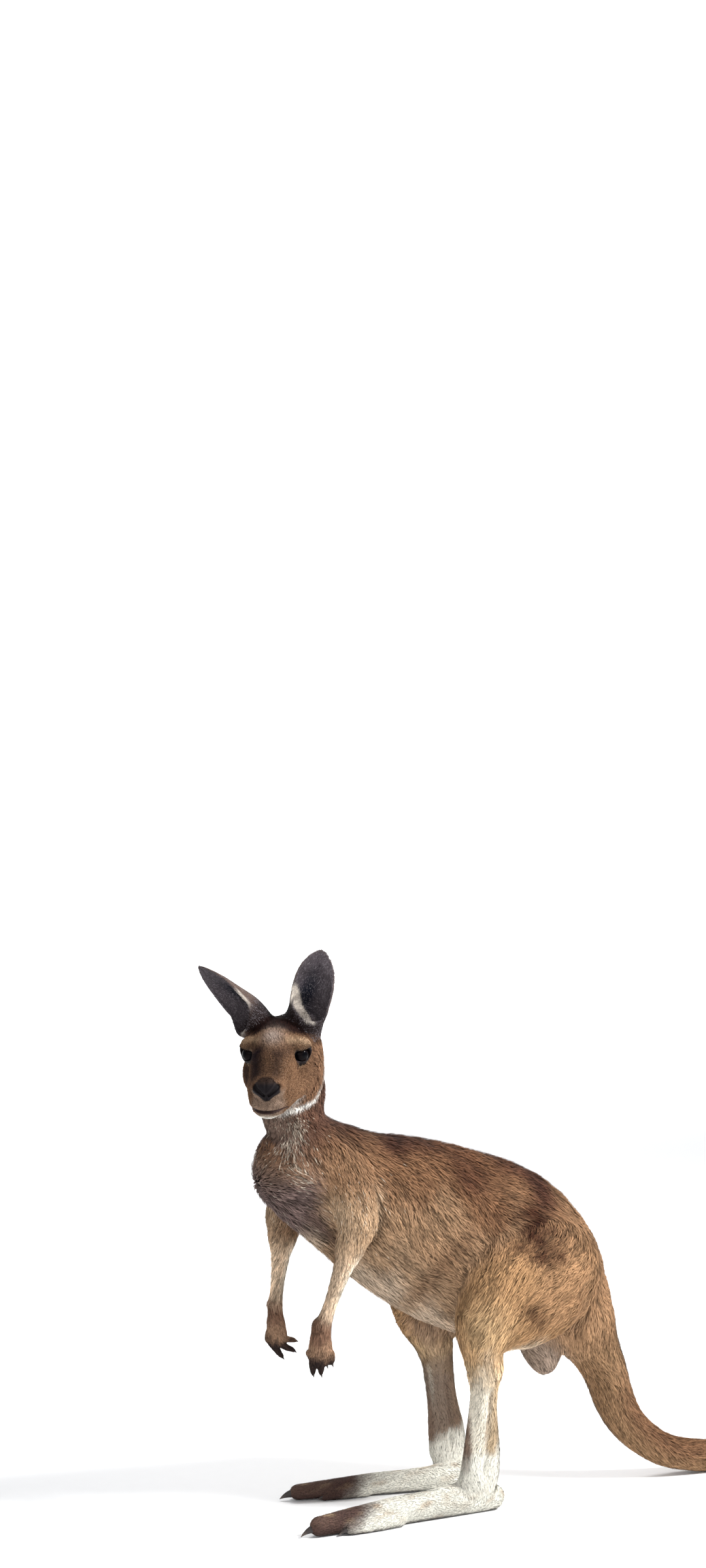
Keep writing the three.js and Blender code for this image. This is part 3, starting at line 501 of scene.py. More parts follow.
def mouthLine(out):
    return face["mouth"] + face["mouthRise"] * out ** 2


def padShape(local):               # under 1 on the bare pad of the nose
    (half, middle, tall), power = face["pad"], face["padPower"]
    forward, out, up = bothSides(local, 1).T
    narrow = 1 + 1.3 * ramp(up, middle - 4, middle - 18) + 0.3 * ramp(up, middle + 4, middle + 16)
    shape = (out * narrow / half) ** power + (np.abs(up - middle) / tall) ** power
    return np.where(forward > face["padFrom"], shape, beyond)


def carved(local, skin):           # the head's skin, cut and raised in the head's own axes
    mirrored = bothSides(local, 1)
    forward, out, up = mirrored.T
    profile = mirrored[:, [0, 2]]
    # eyelids round the ball, then the opening between them
    shape, fromEye = eyeShape(local)
    lids = fromEye - eye["radius"] - mix(eye["lowerLid"], eye["lid"], ramp(up, -6, 4))
    skin, _ = joined(skin, lids, eye["lidSoftness"])
    fold = bell(shape - eye["fold"], eye["foldWidth"])
    skin = skin + eye["foldDepth"] * fold * ramp(up, 0, 6) * ramp(fromEye, 30, 24)
    opening = np.minimum((1 - shape) * eye["below"], fromEye - eye["radius"] + eye["cut"])
    skin = cutBy(skin, opening, eye["edge"])
    # hollow and tear line in front of the eye, hollow behind the edge of the jaw
    skin = skin + 2.0 * spot(mirrored, [33, 31, -6], 11)
    skin = skin + 4.5 * spot(mirrored, [19, 32, -1], 10) * ramp(fromEye, eye["radius"] + 0.5, eye["radius"] + 3)
    tear = band(profile, [[14, -3], [20, -8], [17, -18]], 1.8)
    skin = skin + tear * ramp(out, 24, 30) * ramp(fromEye, 16, 18)
    skin = skin + 4 * band(profile, [[-80, -10], [-78, -44], [-64, -72], [-46, -92]], 8) * ramp(out, 25, 45)
    # nose
    front = ramp(forward, 74, 84)
    nostril, place = toPath(mirrored[:, 1:], face["nostril"])
    width = face["nostrilWidth"] * mix(0.8, 1.3, place)
    skin = skin + front * face["nostrilDepth"] * bell(nostril, width, 4)
    skin = skin - front * 0.9 * bell(nostril - width * 1.9, 1.6) * ramp(up, -56, -50)
    septum = bell(out, 1.3) * front
    skin = skin + septum * 1.1 * ramp(up, -58, -54) * ramp(up, -30, -38)
    skin = skin + septum * face["philtrumDepth"] * ramp(up, -81, -78) * ramp(up, -53, -57)
    # mouth, with a lip under it
    gape = up - mouthLine(out)
    reach = ramp(forward, face["mouthFrom"], face["mouthFrom"] + 9)
    skin = skin + reach * face["mouthDepth"] * bell(gape, face["mouthWidth"])
    skin = skin - reach * 0.9 * bell(gape + 4.5, 2.4)
    return skin - reach * 0.8 * bell(gape - 6, 4) * ramp(out, 2, 7)


def shinPlace(points, leg):        # how far behind the groove of the shin a point lies
    _, y, z = points.T
    return y - leg["back"] * ankleShare(z) - shinGroove["place"] - shinGroove["lower"] * ramp(z, 70, 120)


def skinAt(points):
    skin, extra = body.at(points)
    skin = skin + extra[:, 0]
    local, mirrored, height = headLocal(points), bothSides(points), points[:, 2]
    near = np.all((local > [-100, -100, -130]) & (local < [huge, 100, 45]), axis=1)
    if near.any():
        skin[near] = carved(local[near], skin[near])
    for centre, radius, depth in bodyHollows:
        skin = skin + depth * spot(mirrored, centre, radius)
    for leg in legs.values():      # groove between shin bone and heel tendon
        behind = shinPlace(points, leg)
        outside = points[:, 0] * leg["side"] > shinGroove["outside"]
        here = outside & (np.abs(behind) < shinGroove["reach"])
        groove = shinGroove["depth"] * bell(behind, shinGroove["width"])
        skin = skin + np.where(here, groove * ramp(height, 58, 80) * ramp(height, 225, 180), 0)
    return cutBy(skin, soleHeight - height, 2)


def slopeAt(points, step=0.3):     # value and gradient of the skin's distance
    corners = np.array([[1, -1, -1], [-1, -1, 1], [-1, 1, -1], [1, 1, 1]])
    values = [skinAt(points + corner * step) for corner in corners]
    slope = sum(value[:, None] * corner for value, corner in zip(values, corners)) / (4 * step)
    return sum(values) / 4, slope


# cells round the surface: each is halved once for every level of the boxes and balls it lies in
skinGrid = {
    "low": [-190, -450, -14], "high": [190, 1080, 950], "cell": 10, "near": 1.25, "pull": 0.6,
    "leastSlope": 0.05,
    "boxes": [
        [1, [-190, -350, -20], [190, 240, 240]],       # feet and shins
        [1, [-130, -300, 240], [130, -110, 520]],      # forearms
        [1, [-60, 600, -20], [80, 1080, 80]],          # end of the tail
        [2, [-130, -330, 225], [130, -140, 320]],      # hands
        [2, [-150, -250, -20], [170, -110, 40]],       # toes
    ],
    "balls": [                     # head, face, nose and mouth, eyes, ears
        [1, onHead([-10, 0, -20]), 110], [2, onHead([35, 0, -35]), 72], [3, onHead([86, 0, -58]), 34],
        *[[3, onHead([8, side * 45, 0]), 24] for side in (1, -1)],
        *[[3, cup.base + cup.along * cup.length * t + cup.front * 6, reach] for cup in earCups.values()
          for t, reach in ((0.06, 44), (0.25, 47), (0.45, 46), (0.7, 42), (0.92, 30))],
    ],
}
bits = 14                          # of each of the three numbers of a cell's key


def growSkin():
    low, high = np.array(skinGrid["low"], float), np.array(skinGrid["high"], float)
    cell = skinGrid["cell"]
    stride = np.array([1 << 2 * bits, 1 << bits, 1])

    def unpacked(keys):
        return np.stack([keys >> 2 * bits, (keys >> bits) & (1 << bits) - 1, keys & (1 << bits) - 1], 1)

    def levelOf(coarse):
        middle = low + (coarse + 0.5) * cell
        level = np.zeros(len(coarse), int)
        for depth, start, end in skinGrid["boxes"]:
            level = np.maximum(level, depth * np.all((middle > start) & (middle < end), axis=1))
        for depth, centre, radius in skinGrid["balls"]:
            level = np.maximum(level, depth * (((middle - centre) ** 2).sum(1) < radius ** 2))
        return level

    def touching(cells, size):
        return cells[np.abs(skinAt(low + (cells + 0.5) * size)) < size * skinGrid["near"]]

    def divided(cells, times):
        return (cells[:, None] * times + grid(*[np.arange(times)] * 3)).reshape(-1, 3)

    cells = grid(*[np.arange(n) for n in np.ceil((high - low) / (cell * 4)).astype(int)])
    cells = touching(divided(touching(cells, cell * 4), 4), cell)
    levels = levelOf(cells)
    quads, crossings = [], []
    for depth in range(4):
        part, size = cells[levels == depth], cell
        for _ in range(depth):
            size = size / 2
            part = touching(divided(part, 2), size)
        lattice = np.unique((part[:, None] + grid(*[[0, 1]] * 3)).reshape(-1, 3) @ stride)
        values = skinAt(low + unpacked(lattice) * size)
        for axis in range(3):
            ahead, b, c = np.eye(3, dtype=int)[[axis, (axis + 1) % 3, (axis + 2) % 3]]
            starts = np.unique(np.concatenate([part, part + b, part + c, part + b + c]) @ stride)
            first = values[np.searchsorted(lattice, starts)]
            second = values[np.searchsorted(lattice, starts + ahead @ stride)]
            crossed = (first < 0) != (second < 0)
            first, second, corner = first[crossed], second[crossed], unpacked(starts[crossed])
            ring, allowed = [], np.ones(len(corner), bool)
            for sideB, sideC in ((1, 1), (-1, 1), (-1, -1), (1, -1)):
                probe = (corner + 0.5 * ahead + 0.25 * (sideB * b + sideC * c)) * size / cell
                level = levelOf(np.floor(probe).astype(int))
                allowed &= level <= depth
                ring.append(np.floor(probe * (2 ** level)[:, None]).astype(int) @ stride + (level << 3 * bits))
            quad = np.stack(ring, 1)
            inward = first >= 0
            quad[inward] = quad[inward][:, ::-1]
            quads.append(quad[allowed])
            crossings.append((low + (corner + (first / (first - second))[:, None] * ahead) * size)[allowed])
    keys, corner = np.unique(np.concatenate(quads), return_inverse=True)
    corner = corner.reshape(-1, 4)
    spread = np.repeat(np.concatenate(crossings), 4, axis=0)
    points = np.stack([np.bincount(corner.ravel(), spread[:, i]) for i in range(3)], 1)
    points = points / np.bincount(corner.ravel())[:, None]
    reach = (cell / 2.0 ** (keys >> 3 * bits))[:, None] * skinGrid["pull"]
    for _ in range(2):             # pull every point onto the surface itself
        value, slope = slopeAt(points)
        move = slope * (value / np.maximum(dots(slope, slope), skinGrid["leastSlope"]))[:, None]
        points = points - np.clip(move, -reach, reach)
    triangles = np.concatenate([corner[:, [0, 1, 2]], corner[:, [0, 2, 3]]])
    a, b, c = triangles.T
    return points, triangles[(a != b) & (b != c) & (c != a)]


skinPoints, skinTriangles = growSkin()
a, b, c = skinPoints[skinTriangles].transpose(1, 0, 2)
normals = np.cross(b - a, c - a)
skinAreas = np.linalg.norm(normals, axis=1) / 2
skinNormals = unit(np.stack([np.bincount(skinTriangles.ravel(), np.repeat(normals[:, i], 3), len(skinPoints))
                             for i in range(3)], 1))
say(f"skin: {len(skinTriangles)} triangles, {skinAreas.sum() / 1e6:.3f} square metres")

# where a point lies: its distance to every part, and which side's
regionParts = {
    "trunk": [trunk], "neck": [neck], "tail": [tail], "scrotum": [scrotum], "head": [plainHead],
    "thigh": thighs, "shin": shins, "foot": [foot for foot, _ in feet],
    **{name: [parts[name] for parts in armParts] for name in ("upperArm", "forearm", "hand")},
    "ear": list(earCups.values()),
}
regionNames = list(regionParts)
unrolled = {                       # what each region is unrolled round, for the coat's own map
    **regionParts, "head": [skull], "foot": [main for _, main in feet],
    "hand": [parts["handGuide"] for parts in armParts], "ear": [cup.outer for cup in earCups.values()],
}
regionBlend = {"softness": 7, "thigh": 0.6, "faintest": 0.004}


def regionsAt(points):             # distances to the regions, one column each
    found = np.stack([np.min([partAt(part, points)[0] for part in regionParts[name]], axis=0)
                      for name in regionNames], 1)
    found[:, regionNames.index("neck")] += 50 * ramp(points[:, 2], 765, 795)     # it ends under the ears
    return found


def sharesOf(distances):
    share = np.exp(-(distances - distances.min(1, keepdims=True)) / regionBlend["softness"])
    share[:, regionNames.index("thigh")] *= regionBlend["thigh"]
    return share / share.sum(1, keepdims=True)


# markings of skin and coat, with painted shade in hollows, creases and on shaded sides
def tone(*screen):                 # a screen colour as the renderer counts it
    level = np.array(screen) / 255
    return np.where(level > 0.04045, ((level + 0.055) / 1.055) ** 2.4, level / 12.92)


# some tones below stand for painted shade: the hip's hollows, creases, the shadow under the arm, the shaded
# front and inner side of the shin with its groove, and the hollow of the ear
tones = {name: tone(*screen) for name, screen in {
    "backLine": (66, 44, 36), "back": (72, 46, 36), "midBack": (124, 91, 66), "flank": (150, 119, 91),
    "lowFlank": (156, 128, 101), "belly": (186, 165, 143), "loin": (110, 76, 53), "rump": (148, 114, 84),
    "thigh": (160, 124, 88), "paleThigh": (184, 154, 116), "hipShade": (54, 30, 21), "fold": (84, 57, 40),
    "shoulder": (146, 112, 84), "neckSide": (100, 72, 58), "neckBack": (84, 60, 50), "throat": (120, 100, 88),
    "chest": (110, 92, 87), "upperArm": (180, 148, 116), "fringe": (206, 180, 150), "armpitShadow": (74, 56, 52),
    "forearm": (216, 190, 162), "hand": (166, 132, 106), "cream": (226, 214, 194), "tan": (178, 152, 122),
    "greyHair": (128, 122, 126), "dark": (52, 41, 38), "wrist": (124, 94, 76), "shin": (240, 232, 214),
    "shinShade": (140, 118, 102), "shinGroove": (128, 102, 78), "shinBack": (200, 176, 144),
    "shinTop": (194, 165, 128), "foot": (240, 238, 226), "footDark": (88, 68, 62), "toe": (122, 97, 84),
    "sole": (60, 50, 46), "tailRoot": (150, 118, 88), "tailUnder": (120, 88, 65), "tailTop": (116, 84, 60),
    "tailTip": (52, 42, 40), "scrotum": (162, 142, 126), "cheek": (132, 99, 74), "forehead": (178, 160, 148),
    "crown": (36, 18, 14), "brow": (180, 150, 120), "bridge": (30, 22, 28), "muzzle": (148, 124, 106),
    "nose": (24, 18, 21), "lip": (56, 38, 35), "chin": (206, 192, 176), "jawRim": (246, 242, 234),
    "lids": (24, 19, 21), "tear": (56, 41, 38), "earBack": (104, 84, 74), "earBase": (40, 29, 29),
    "earIn": (84, 76, 80), "earHollowShade": (18, 21, 34), "earHair": (214, 203, 190), "earRim": (112, 96, 90),
    "lash": (30, 24, 24), "claw": (48, 40, 37), "clawTip": (96, 82, 72), "pupil": (7, 7, 10),
    "iris": (20, 14, 15), "floor": (246, 246, 246),
}.items()}


def painted(colour, *layers):      # each layer is a tone and how much it covers
    if isinstance(colour, str):
        colour = tones[colour]
    for name, weight in layers:
        colour = mix(colour, tones[name], np.clip(weight, 0, 1)[:, None])
    return colour


# shade marks as weight, width and path: painted shade in the hollow and crease of the hip, the fold of the
# flank and a hollow low on the thigh
hipShadeMarks = [
    [1.15, 31, [[94, 160, 474], [102, 178, 460], [110, 204, 444]]],
    [1, 12, [[117, 150, 440], [127, 180, 421], [126, 203, 411], [120, 224, 418]]],
    [0.45, 9, [[88, 110, 500], [96, 106, 468], [104, 98, 440]]],
    [0.9, 15, [[144, 160, 345], [138, 186, 326]]],
]
# the crease of the groin, darkened as painted shade
groin = [[104, 50, 455], [98, 20, 430], [74, -16, 384], [62, -34, 350]]
kneeStrip = [[124, 88, 290], [118, 78, 250], [112, 74, 222], [108, 72, 200]]
# the dark of the muzzle's bridge, a marking, with painted shade down the right side of the muzzle and round the
# right eye, in the head's own axes
bridgeMarksAndShade = [
    [0.95, 18, [[24, -34, -6], [44, -24, -2], [60, -19, -13], [76, -17, -27]]],
    [0.8, 13, [[2, -44, -18], [22, -41, -32], [46, -35, -42], [66, -29, -46]]],
    [0.8, 12, [[8, -46, -12], [-12, -48, -28], [-2, -43, -46]]],
    [0.85, 10, [[42, -20, 6]]], [0.5, 9, [[50, 7, 4]]],
    [0.6, 10, [[30, 20, 4], [54, 12, 0], [70, 12, -10], [84, 13, -22]]],
]
# the white edge of the jaw, from the ear to the chin
jawRim = np.array([[-64, 69, -12], [-62, 70, -33], [-56, 69, -50], [-54, 62, -64], [-52, 54, -74],
                   [-40, 38, -82], [-33, 21, -87], [-30, 2, -94]])


def markAndShade(points, weight, width, path):
    return weight * (band(points, path, width) if len(path) > 1 else spot(points, path[0], width))


# painted shade of the hip's hollows and creases, a little uneven
def hipShade(points, mirrored):
    shade = np.max([markAndShade(mirrored, *row) for row in hipShadeMarks], axis=0)
    return np.minimum(shade, 1) * (0.85 + 0.25 * waves(points, 30, 21))


def trunkColour(points, mirrored, x, y, z):
    _, below = trunk.placeOn(points)
    below = below + 0.16 * waves(points, 90, 3)
    return painted(
        "flank", ("midBack", ramp(below, -0.05, -0.55)), ("back", ramp(below, -0.5, -0.95)),
        ("backLine", 0.6 * ramp(below, -0.93, -1.05)), ("lowFlank", ramp(below, 0.15, 0.6)),
        ("belly", ramp(below, 0.65, 0.95)), ("loin", 0.8 * spot(points, [0, 80, 560], 80)),
        ("rump", 0.7 * ramp(y, 210, 260)), ("shoulder", 0.8 * spot(mirrored, [74, -150, 570], 46)),
        # painted shade in the hip's hollows and in the crease of the groin
        ("hipShade", hipShade(points, mirrored)), ("fold", 0.55 * band(mirrored, groin, 17)),
        ("chest", ramp(y, -170, -215) * ramp(below, -0.6, 0.2)),
        # painted shade along the crease between neck and shoulder
        ("fold", 0.6 * band(mirrored, [[62, -168, 628], [76, -118, 590], [84, -104, 545]], 9)),
        # painted shadow on the chest under the front of the arm
        ("armpitShadow", 0.9 * band(mirrored, [[40, -190, 500], [48, -168, 452]], 18)))


def thighColour(points, mirrored, x, y, z):
    return painted(
        "thigh", ("midBack", 0.6 * ramp(z, 400, 450)), ("rump", 0.7 * ramp(y, 150, 205) * ramp(z, 290, 330)),
        ("paleThigh", 0.9 * spot(mirrored, [140, 84, 318], 46)), ("shinTop", ramp(z, 300, 236)),
        ("cream", 0.7 * band(mirrored, [[112, 122, 244], [118, 148, 268], [108, 192, 290]], 13)),
        ("cream", 0.75 * band(mirrored, kneeStrip[:3], 10)),
        # painted shade on the inner side of the lower thigh
        ("shinShade", 0.7 * ramp(mirrored[:, 0], 84, 70) * ramp(z, 330, 290)),
        # painted shade of the hip and of the groin's crease
        ("hipShade", hipShade(points, mirrored)), ("fold", 0.5 * band(mirrored, groin[:3], 17)),
        ("belly", 0.7 * ramp(mirrored[:, 0], 62, 44)))


def neckColour(points, mirrored, x, y, z):
    along, below = neck.placeOn(points)
    front = ramp(-below, -0.1, 0.7)
    return painted("neckSide", ("throat", front), ("chest", front * ramp(along, 0.3, 0) * 0.8),
                   ("neckBack", ramp(-below, -0.2, -0.9)))


def tailColour(points, mirrored, x, y, z):
    along, below = tail.placeOn(points)
    clear = ramp(along, 0.1, 0.3)
    return painted("tailRoot", ("tailUnder", clear * ramp(-below, -0.5, 0.3)),
                   ("tailTop", clear * ramp(-below, 0.3, 0.9)), ("tailTip", ramp(along, 0.68, 0.95)))


def shinColour(points, mirrored, x, y, z):
    behind = np.where(x > 0, *[shinPlace(points, leg) for leg in legs.values()])
    inner = 91 - np.where(x > 0, *[leg["toeIn"] for leg in legs.values()]) - mirrored[:, 0]
    # where the white of the lower shin begins: level on the left leg, slanting on the right leg as the edge of
    # painted shadow
    height = z + 5 * waves(points, 25, 39) - np.where(x > 0, 0, 0.5 * (behind + 6) - 8)
    return painted(
        "shin", ("shinBack", ramp(behind, 1, 6)), ("shin", 0.7 * ramp(behind, 17, 24)),
        # painted shade on the front edge of the shin and along its groove
        ("shinShade", ramp(behind, -22, -27)), ("shinGroove", 0.8 * bell(behind, 2.6) * ramp(z, 225, 190)),
        # painted shadow over the inner side of each shin, down to where the white begins
        ("shinShade", 0.9 * ramp(inner, 2, 9)), ("foot", 0.9 * ramp(height, 114, 98)),
        # the painted shade of the front edge carried down over the white
        ("shinShade", 0.5 * ramp(behind, -22, -27) * ramp(z, 70, 90)),
        ("shinTop", 0.8 * ramp(z + 10 * waves(points, 30, 9), 190, 260)),
        ("cream", 0.7 * ramp(z, 190, 230) * band(mirrored, kneeStrip[1:], 10)))


def footColour(points, mirrored, x, y, z):
    ahead = -y + 6 * waves(points, 40, 8) + np.where(x > 0, -32, 44)
    return painted(
        "foot", ("tan", 0.25 * ramp(waves(points * [1.5, 0.5, 1.5], 22, 41), 0.2, 1.3)),
        ("footDark", ramp(ahead + 1.2 * z, 92, 142)), ("toe", 0.4 * ramp(ahead, 120, 155) * ramp(z, 8, 24)),
        ("tan", 0.6 * ramp(waves(points * [1, 0.5, 1], 13, 61), 0.4, 1.4) * ramp(z, 14, 28)),
        ("sole", ramp(z, 7, 1)))


def armFront(points, name):        # 1 at the front of an upper arm or forearm, -1 at the back
    return np.where(points[:, 0] > 0, *[parts[name].placeOn(points)[1] for parts in armParts])


def upperArmColour(points, mirrored, x, y, z):
    front = armFront(points, "upperArm")
    return painted(
        # the shoulder tone tops both upper arms; over all the right arm (x under 0), with the fold tone below,
        # it is painted shade
        "upperArm", ("shoulder", np.maximum(ramp(z, 500, 560), 0.9 * (x < 0))),
        ("fold", 0.5 * ramp(z, 540, 490) * (x < 0)),
        ("fringe", 0.5 * ramp(front, 0.1, 0.8) * ramp(z, 560, 500)),
        ("fringe", 0.9 * ramp(front, -0.72, -0.98) * ramp(z, 560, 530)))


def forearmColour(points, mirrored, x, y, z):
    front = armFront(points, "forearm")
    return painted(
        # the fold tone on the upper part of the right forearm is painted shade
        "forearm", ("upperArm", 0.85 * ramp(z, 400, 470)), ("fold", 0.6 * ramp(z, 425, 465) * (x < 0)),
        ("fringe", 0.9 * ramp(front, -0.72, -0.98) * ramp(z, 400, 440)),
        ("cream", ramp(front, 0, -0.6) * ramp(z, 340, 380) * ramp(z, 450, 420)), ("wrist", ramp(z, 358, 326)))


def handColour(points, mirrored, x, y, z):
    return painted("wrist", ("hand", ramp(z, 318, 296)),
                   ("dark", ramp(z + 4 * waves(points, 12, 51), 290, 266)))


def scrotumColour(points, *_):
    return painted("scrotum")


def headColour(points, *_):
    local = headLocal(points)
    mirrored = bothSides(local, 1)
    forward, out, up = mirrored.T
    gape = up - mouthLine(out)
    reach = ramp(forward, face["mouthFrom"] - 4, face["mouthFrom"] + 4)
    thick = 1.3 + 2.8 * np.clip(1 - (out / 24) ** 2, 0, 1)
    nostril, _ = toPath(mirrored[:, 1:], face["nostril"])
    shape, fromEye = eyeShape(local)
    nearEye = ramp(fromEye, 24, 21)
    return painted(
        "cheek", ("neckSide", ramp(forward, -40, -70)),
        ("crown", ramp(up + 0.1 * forward + 3 * waves(points, 24, 17), 21, 31) * ramp(forward, 16, 2)),
        ("forehead", 0.85 * spot(mirrored * [0.8, 1, 1], [19, 0, 27], 16)),
        ("brow", 0.9 * band(mirrored, [[22, 26, 21], [13, 40, 24], [10, 46, 19], [-8, 52, 20]], 6.5)),
        ("crown", 0.5 * band(mirrored, [[26, 22, 8], [20, 30, 14]], 6)),
        # the dark bridge marking, and painted shade on the right side of the face
        *[("bridge", markAndShade(local, *row)) for row in bridgeMarksAndShade],
        ("muzzle", ramp(forward, 62, 82) * ramp(up, -40, -54)),
        ("chin", ramp(up, -84, -88) * ramp(forward, 20, 50)),
        ("throat", ramp(up + 0.55 * forward, -92, -104) * ramp(forward, 40, 0)),
        ("lip", reach * np.where(gape > 0, ramp(gape, 2.2, 0.8), ramp(gape + thick, -1.2, 0.4))),
        ("nose", ramp(padShape(local), 1.25, 0.85) * (0.82 + 0.18 * ramp(up, -30, -40))),
        # the nostril slits painted near black as painted shade of their openings
        ("lids", ramp(forward, 80, 86) * bell(nostril, 2.6, 4)),
        ("brow", 0.5 * nearEye * ramp(shape, 2.1, 1.8)),
        ("lids", nearEye * ramp(shape + 0.12 * waves(points, 9, 44), eye["fold"], eye["fold"] - 0.2)),
        ("tear", 0.9 * band(mirrored[:, [0, 2]], [[15, -9], [17, -20]], 3.2) * ramp(out, 30, 36)))


def earColour(points, *_):
    colour = np.zeros((len(points), 3))
    nearest = np.full(len(points), huge)
    for ear, cup in zip(ears.values(), earCups.values()):
        distance, _ = partAt(cup.outer, points)
        closer = distance <= nearest
        nearest[closer] = distance[closer]
        here, distance = points[closer], distance[closer]
        up, ahead = cup.place(here)
        across = (here - cup.base) @ cup.wide / np.interp(up, earSections[:, 0], earSections[:, 1])
        inner = np.sign(ear["base"][1]) * across
        inside = ramp(distance, -1.6, -3) * ramp(up, 0.1, 0.2)
        offset = inner - 2.7 * up + 0.61         # a strip that runs from the foot to the inner margin
        margin = ramp(offset, -0.1, 0.08) * ramp(up, 0.56, 0.44) * ramp(up, 0.06, 0.13)
        margin *= np.maximum(ramp(offset, 0.75, 0.5), ramp(up, 0.24, 0.34))
        colour[closer] = painted(
            "earBack", ("earRim", ramp(ahead, -5, -1)), ("earBase", ramp(up, 0.36, 0.16)), ("earIn", inside),
            # painted shade deep in the hollow of the ear cup
            ("earHollowShade", inside * bell(up - 0.4, 0.33) * bell(inner - 0.1, 0.5) * 1.2),
            ("earHair", margin * np.maximum(ramp(distance, -2, -4), ramp(ahead, -6, -3))))
    return colour


# in the order of regionNames
regionColours = [trunkColour, neckColour, tailColour, scrotumColour, headColour, thighColour, shinColour,
                 footColour, upperArmColour, forearmColour, handColour, earColour]


def markingsAndShade(points, shares):
    colour, total = np.zeros((len(points), 3)), 0
    mirrored = bothSides(points)
    for colourOf, share in zip(regionColours, shares.T):
        share = np.where(share > regionBlend["faintest"], share, 0)
        here = share > 0
        if here.any():
            colour[here] += colourOf(points[here], mirrored[here], *points[here].T) * share[here, None]
        total = total + share
    local = headLocal(points)
    mirrored = bothSides(local, 1)
    forward, out, up = mirrored.T
    cheek = ramp(up - np.interp(out, jawRim[::-1, 1], jawRim[::-1, 2]), 0, 4) * ramp(up, -110, -100)
    cheek = cheek * ramp(forward, -68, -58) * ramp(forward, 14, 0)
    under = ramp(up + 0.17 * forward + 2 * waves(points, 12, 31), -70, -76) * ramp(forward, -34, -20)
    under = under * ramp(forward, 92, 80) * ramp(out, 60, 50) * ramp(up, -112, -102)
    lip = ramp(forward, 60, 70) * ramp(up, -89, -86)
    return painted(colour / total[:, None], ("cheek", 0.9 * cheek * shares[:, regionNames.index("neck")]),
                   ("jawRim", np.maximum(1.2 * band(mirrored, jawRim, 4.4), under * (1 - lip))))


skinRegions = regionsAt(skinPoints)
skinTints = markingsAndShade(skinPoints, sharesOf(skinRegions))
say("markings laid")


class Socket:                      # a shader value that can be added, multiplied and mixed in Python
    tree = None

    def __init__(self, link):
        self.link = link

    @classmethod
    def node(cls, kind, settings=None, output=0, **inputs):      # inputs by name, or by number as i0, i1 ...
        made = cls.tree.nodes.new(kind)
        for key, value in (settings or {}).items():
            setattr(made, key, value)
        for key, value in inputs.items():
            cls.feed(made.inputs[int(key[1:]) if key[1:].isdigit() else key.replace("_", " ")], value)
        return cls(made.outputs[output])

    @classmethod
    def feed(cls, socket, value):
        if isinstance(value, Socket):
            cls.tree.links.new(value.link, socket)
        else:
            socket.default_value = value

    def maths(self, operation, other, swapped=False):
        first, second = (other, self) if swapped else (self, other)
        return Socket.node("ShaderNodeMath", {"operation": operation}, i0=first, i1=second)

    def __add__(self, other): return self.maths("ADD", other)
    def __radd__(self, other): return self.maths("ADD", other, True)
    def __sub__(self, other): return self.maths("SUBTRACT", other)
    def __rsub__(self, other): return self.maths("SUBTRACT", other, True)
    def __mul__(self, other): return self.maths("MULTIPLY", other)
    def __rmul__(self, other): return self.maths("MULTIPLY", other, True)

    def ramped(self, start, end):      # 0 at start, 1 at end
        return Socket.node("ShaderNodeMapRange", {"interpolation_type": "SMOOTHSTEP"}, Value=self,
                           From_Min=start, From_Max=end)

    def scaled(self, other):           # a colour made lighter or darker
        return Socket.node("ShaderNodeVectorMath", {"operation": "SCALE"}, Vector=self, Scale=other)

    def toward(self, name, share):
        return Socket.node("ShaderNodeMix", {"data_type": "RGBA"}, 2, i0=share, i6=self, i7=(*tones[name], 1))


def plain(name):                       # one tone as a shader value
    made = Socket.node("ShaderNodeRGB")
    made.link.default_value = (*tones[name], 1)
    return made


def attribute(name, output=2):
    return Socket.node("ShaderNodeAttribute", {"attribute_name": name}, output)


def noise(scale, detail=2.0, vector=None):
    place = vector or Socket.node("ShaderNodeTexCoord", output=3)
    return Socket.node("ShaderNodeTexNoise", Vector=place, Scale=scale, Detail=detail)


def bumps(height, strength, distance):
    return Socket.node("ShaderNodeBump", Height=height, Strength=strength, Distance=distance)


materials = {}


def material(name, build, **constants):
    made = materials[name] = bpy.data.materials.new(name)
    made.use_nodes = True
    Socket.tree = made.node_tree
    shader = made.node_tree.nodes["Principled BSDF"]
    for key, value in constants.items():
        shader.inputs[key.replace("_", " ")].default_value = value
    for key, value in build().items():
        Socket.feed(shader.inputs[key], value)


coatLook = {"rootShade": 0.24, "tipShade": 1.0, "fleck": 0.7, "roughness": 0.7}


def coatShader():
    along, random = attribute("along"), attribute("random")
    # darker towards the root: darker hair bases, and painted shade deep in the coat between the tufts
    shade = coatLook["rootShade"] + (coatLook["tipShade"] - coatLook["rootShade"]) * along.ramped(0.0, 0.75)
    shade = shade * (1 + coatLook["fleck"] * 2 * (random - 0.5))
    shade = shade * (0.94 + 0.12 * noise(60).ramped(0.3, 0.7))
    return {"Base Color": attribute("tint", 1).scaled(shade), "Roughness": coatLook["roughness"] + 0.2 * random}


def skinShader():
    fine, broad = noise(900, 3), noise(120)
    # the skin is held darker, from 0.62 up, as painted shade under the coat, with fine mottling
    shade = 0.62 + 0.3 * fine.ramped(0.3, 0.7) * broad.ramped(0.2, 0.8) + 0.14 * fine
    return {"Base Color": attribute("tint", 1).scaled(shade), "Roughness": 0.5 + 0.3 * fine,
            "Normal": bumps(fine, 0.35, 0.0006)}


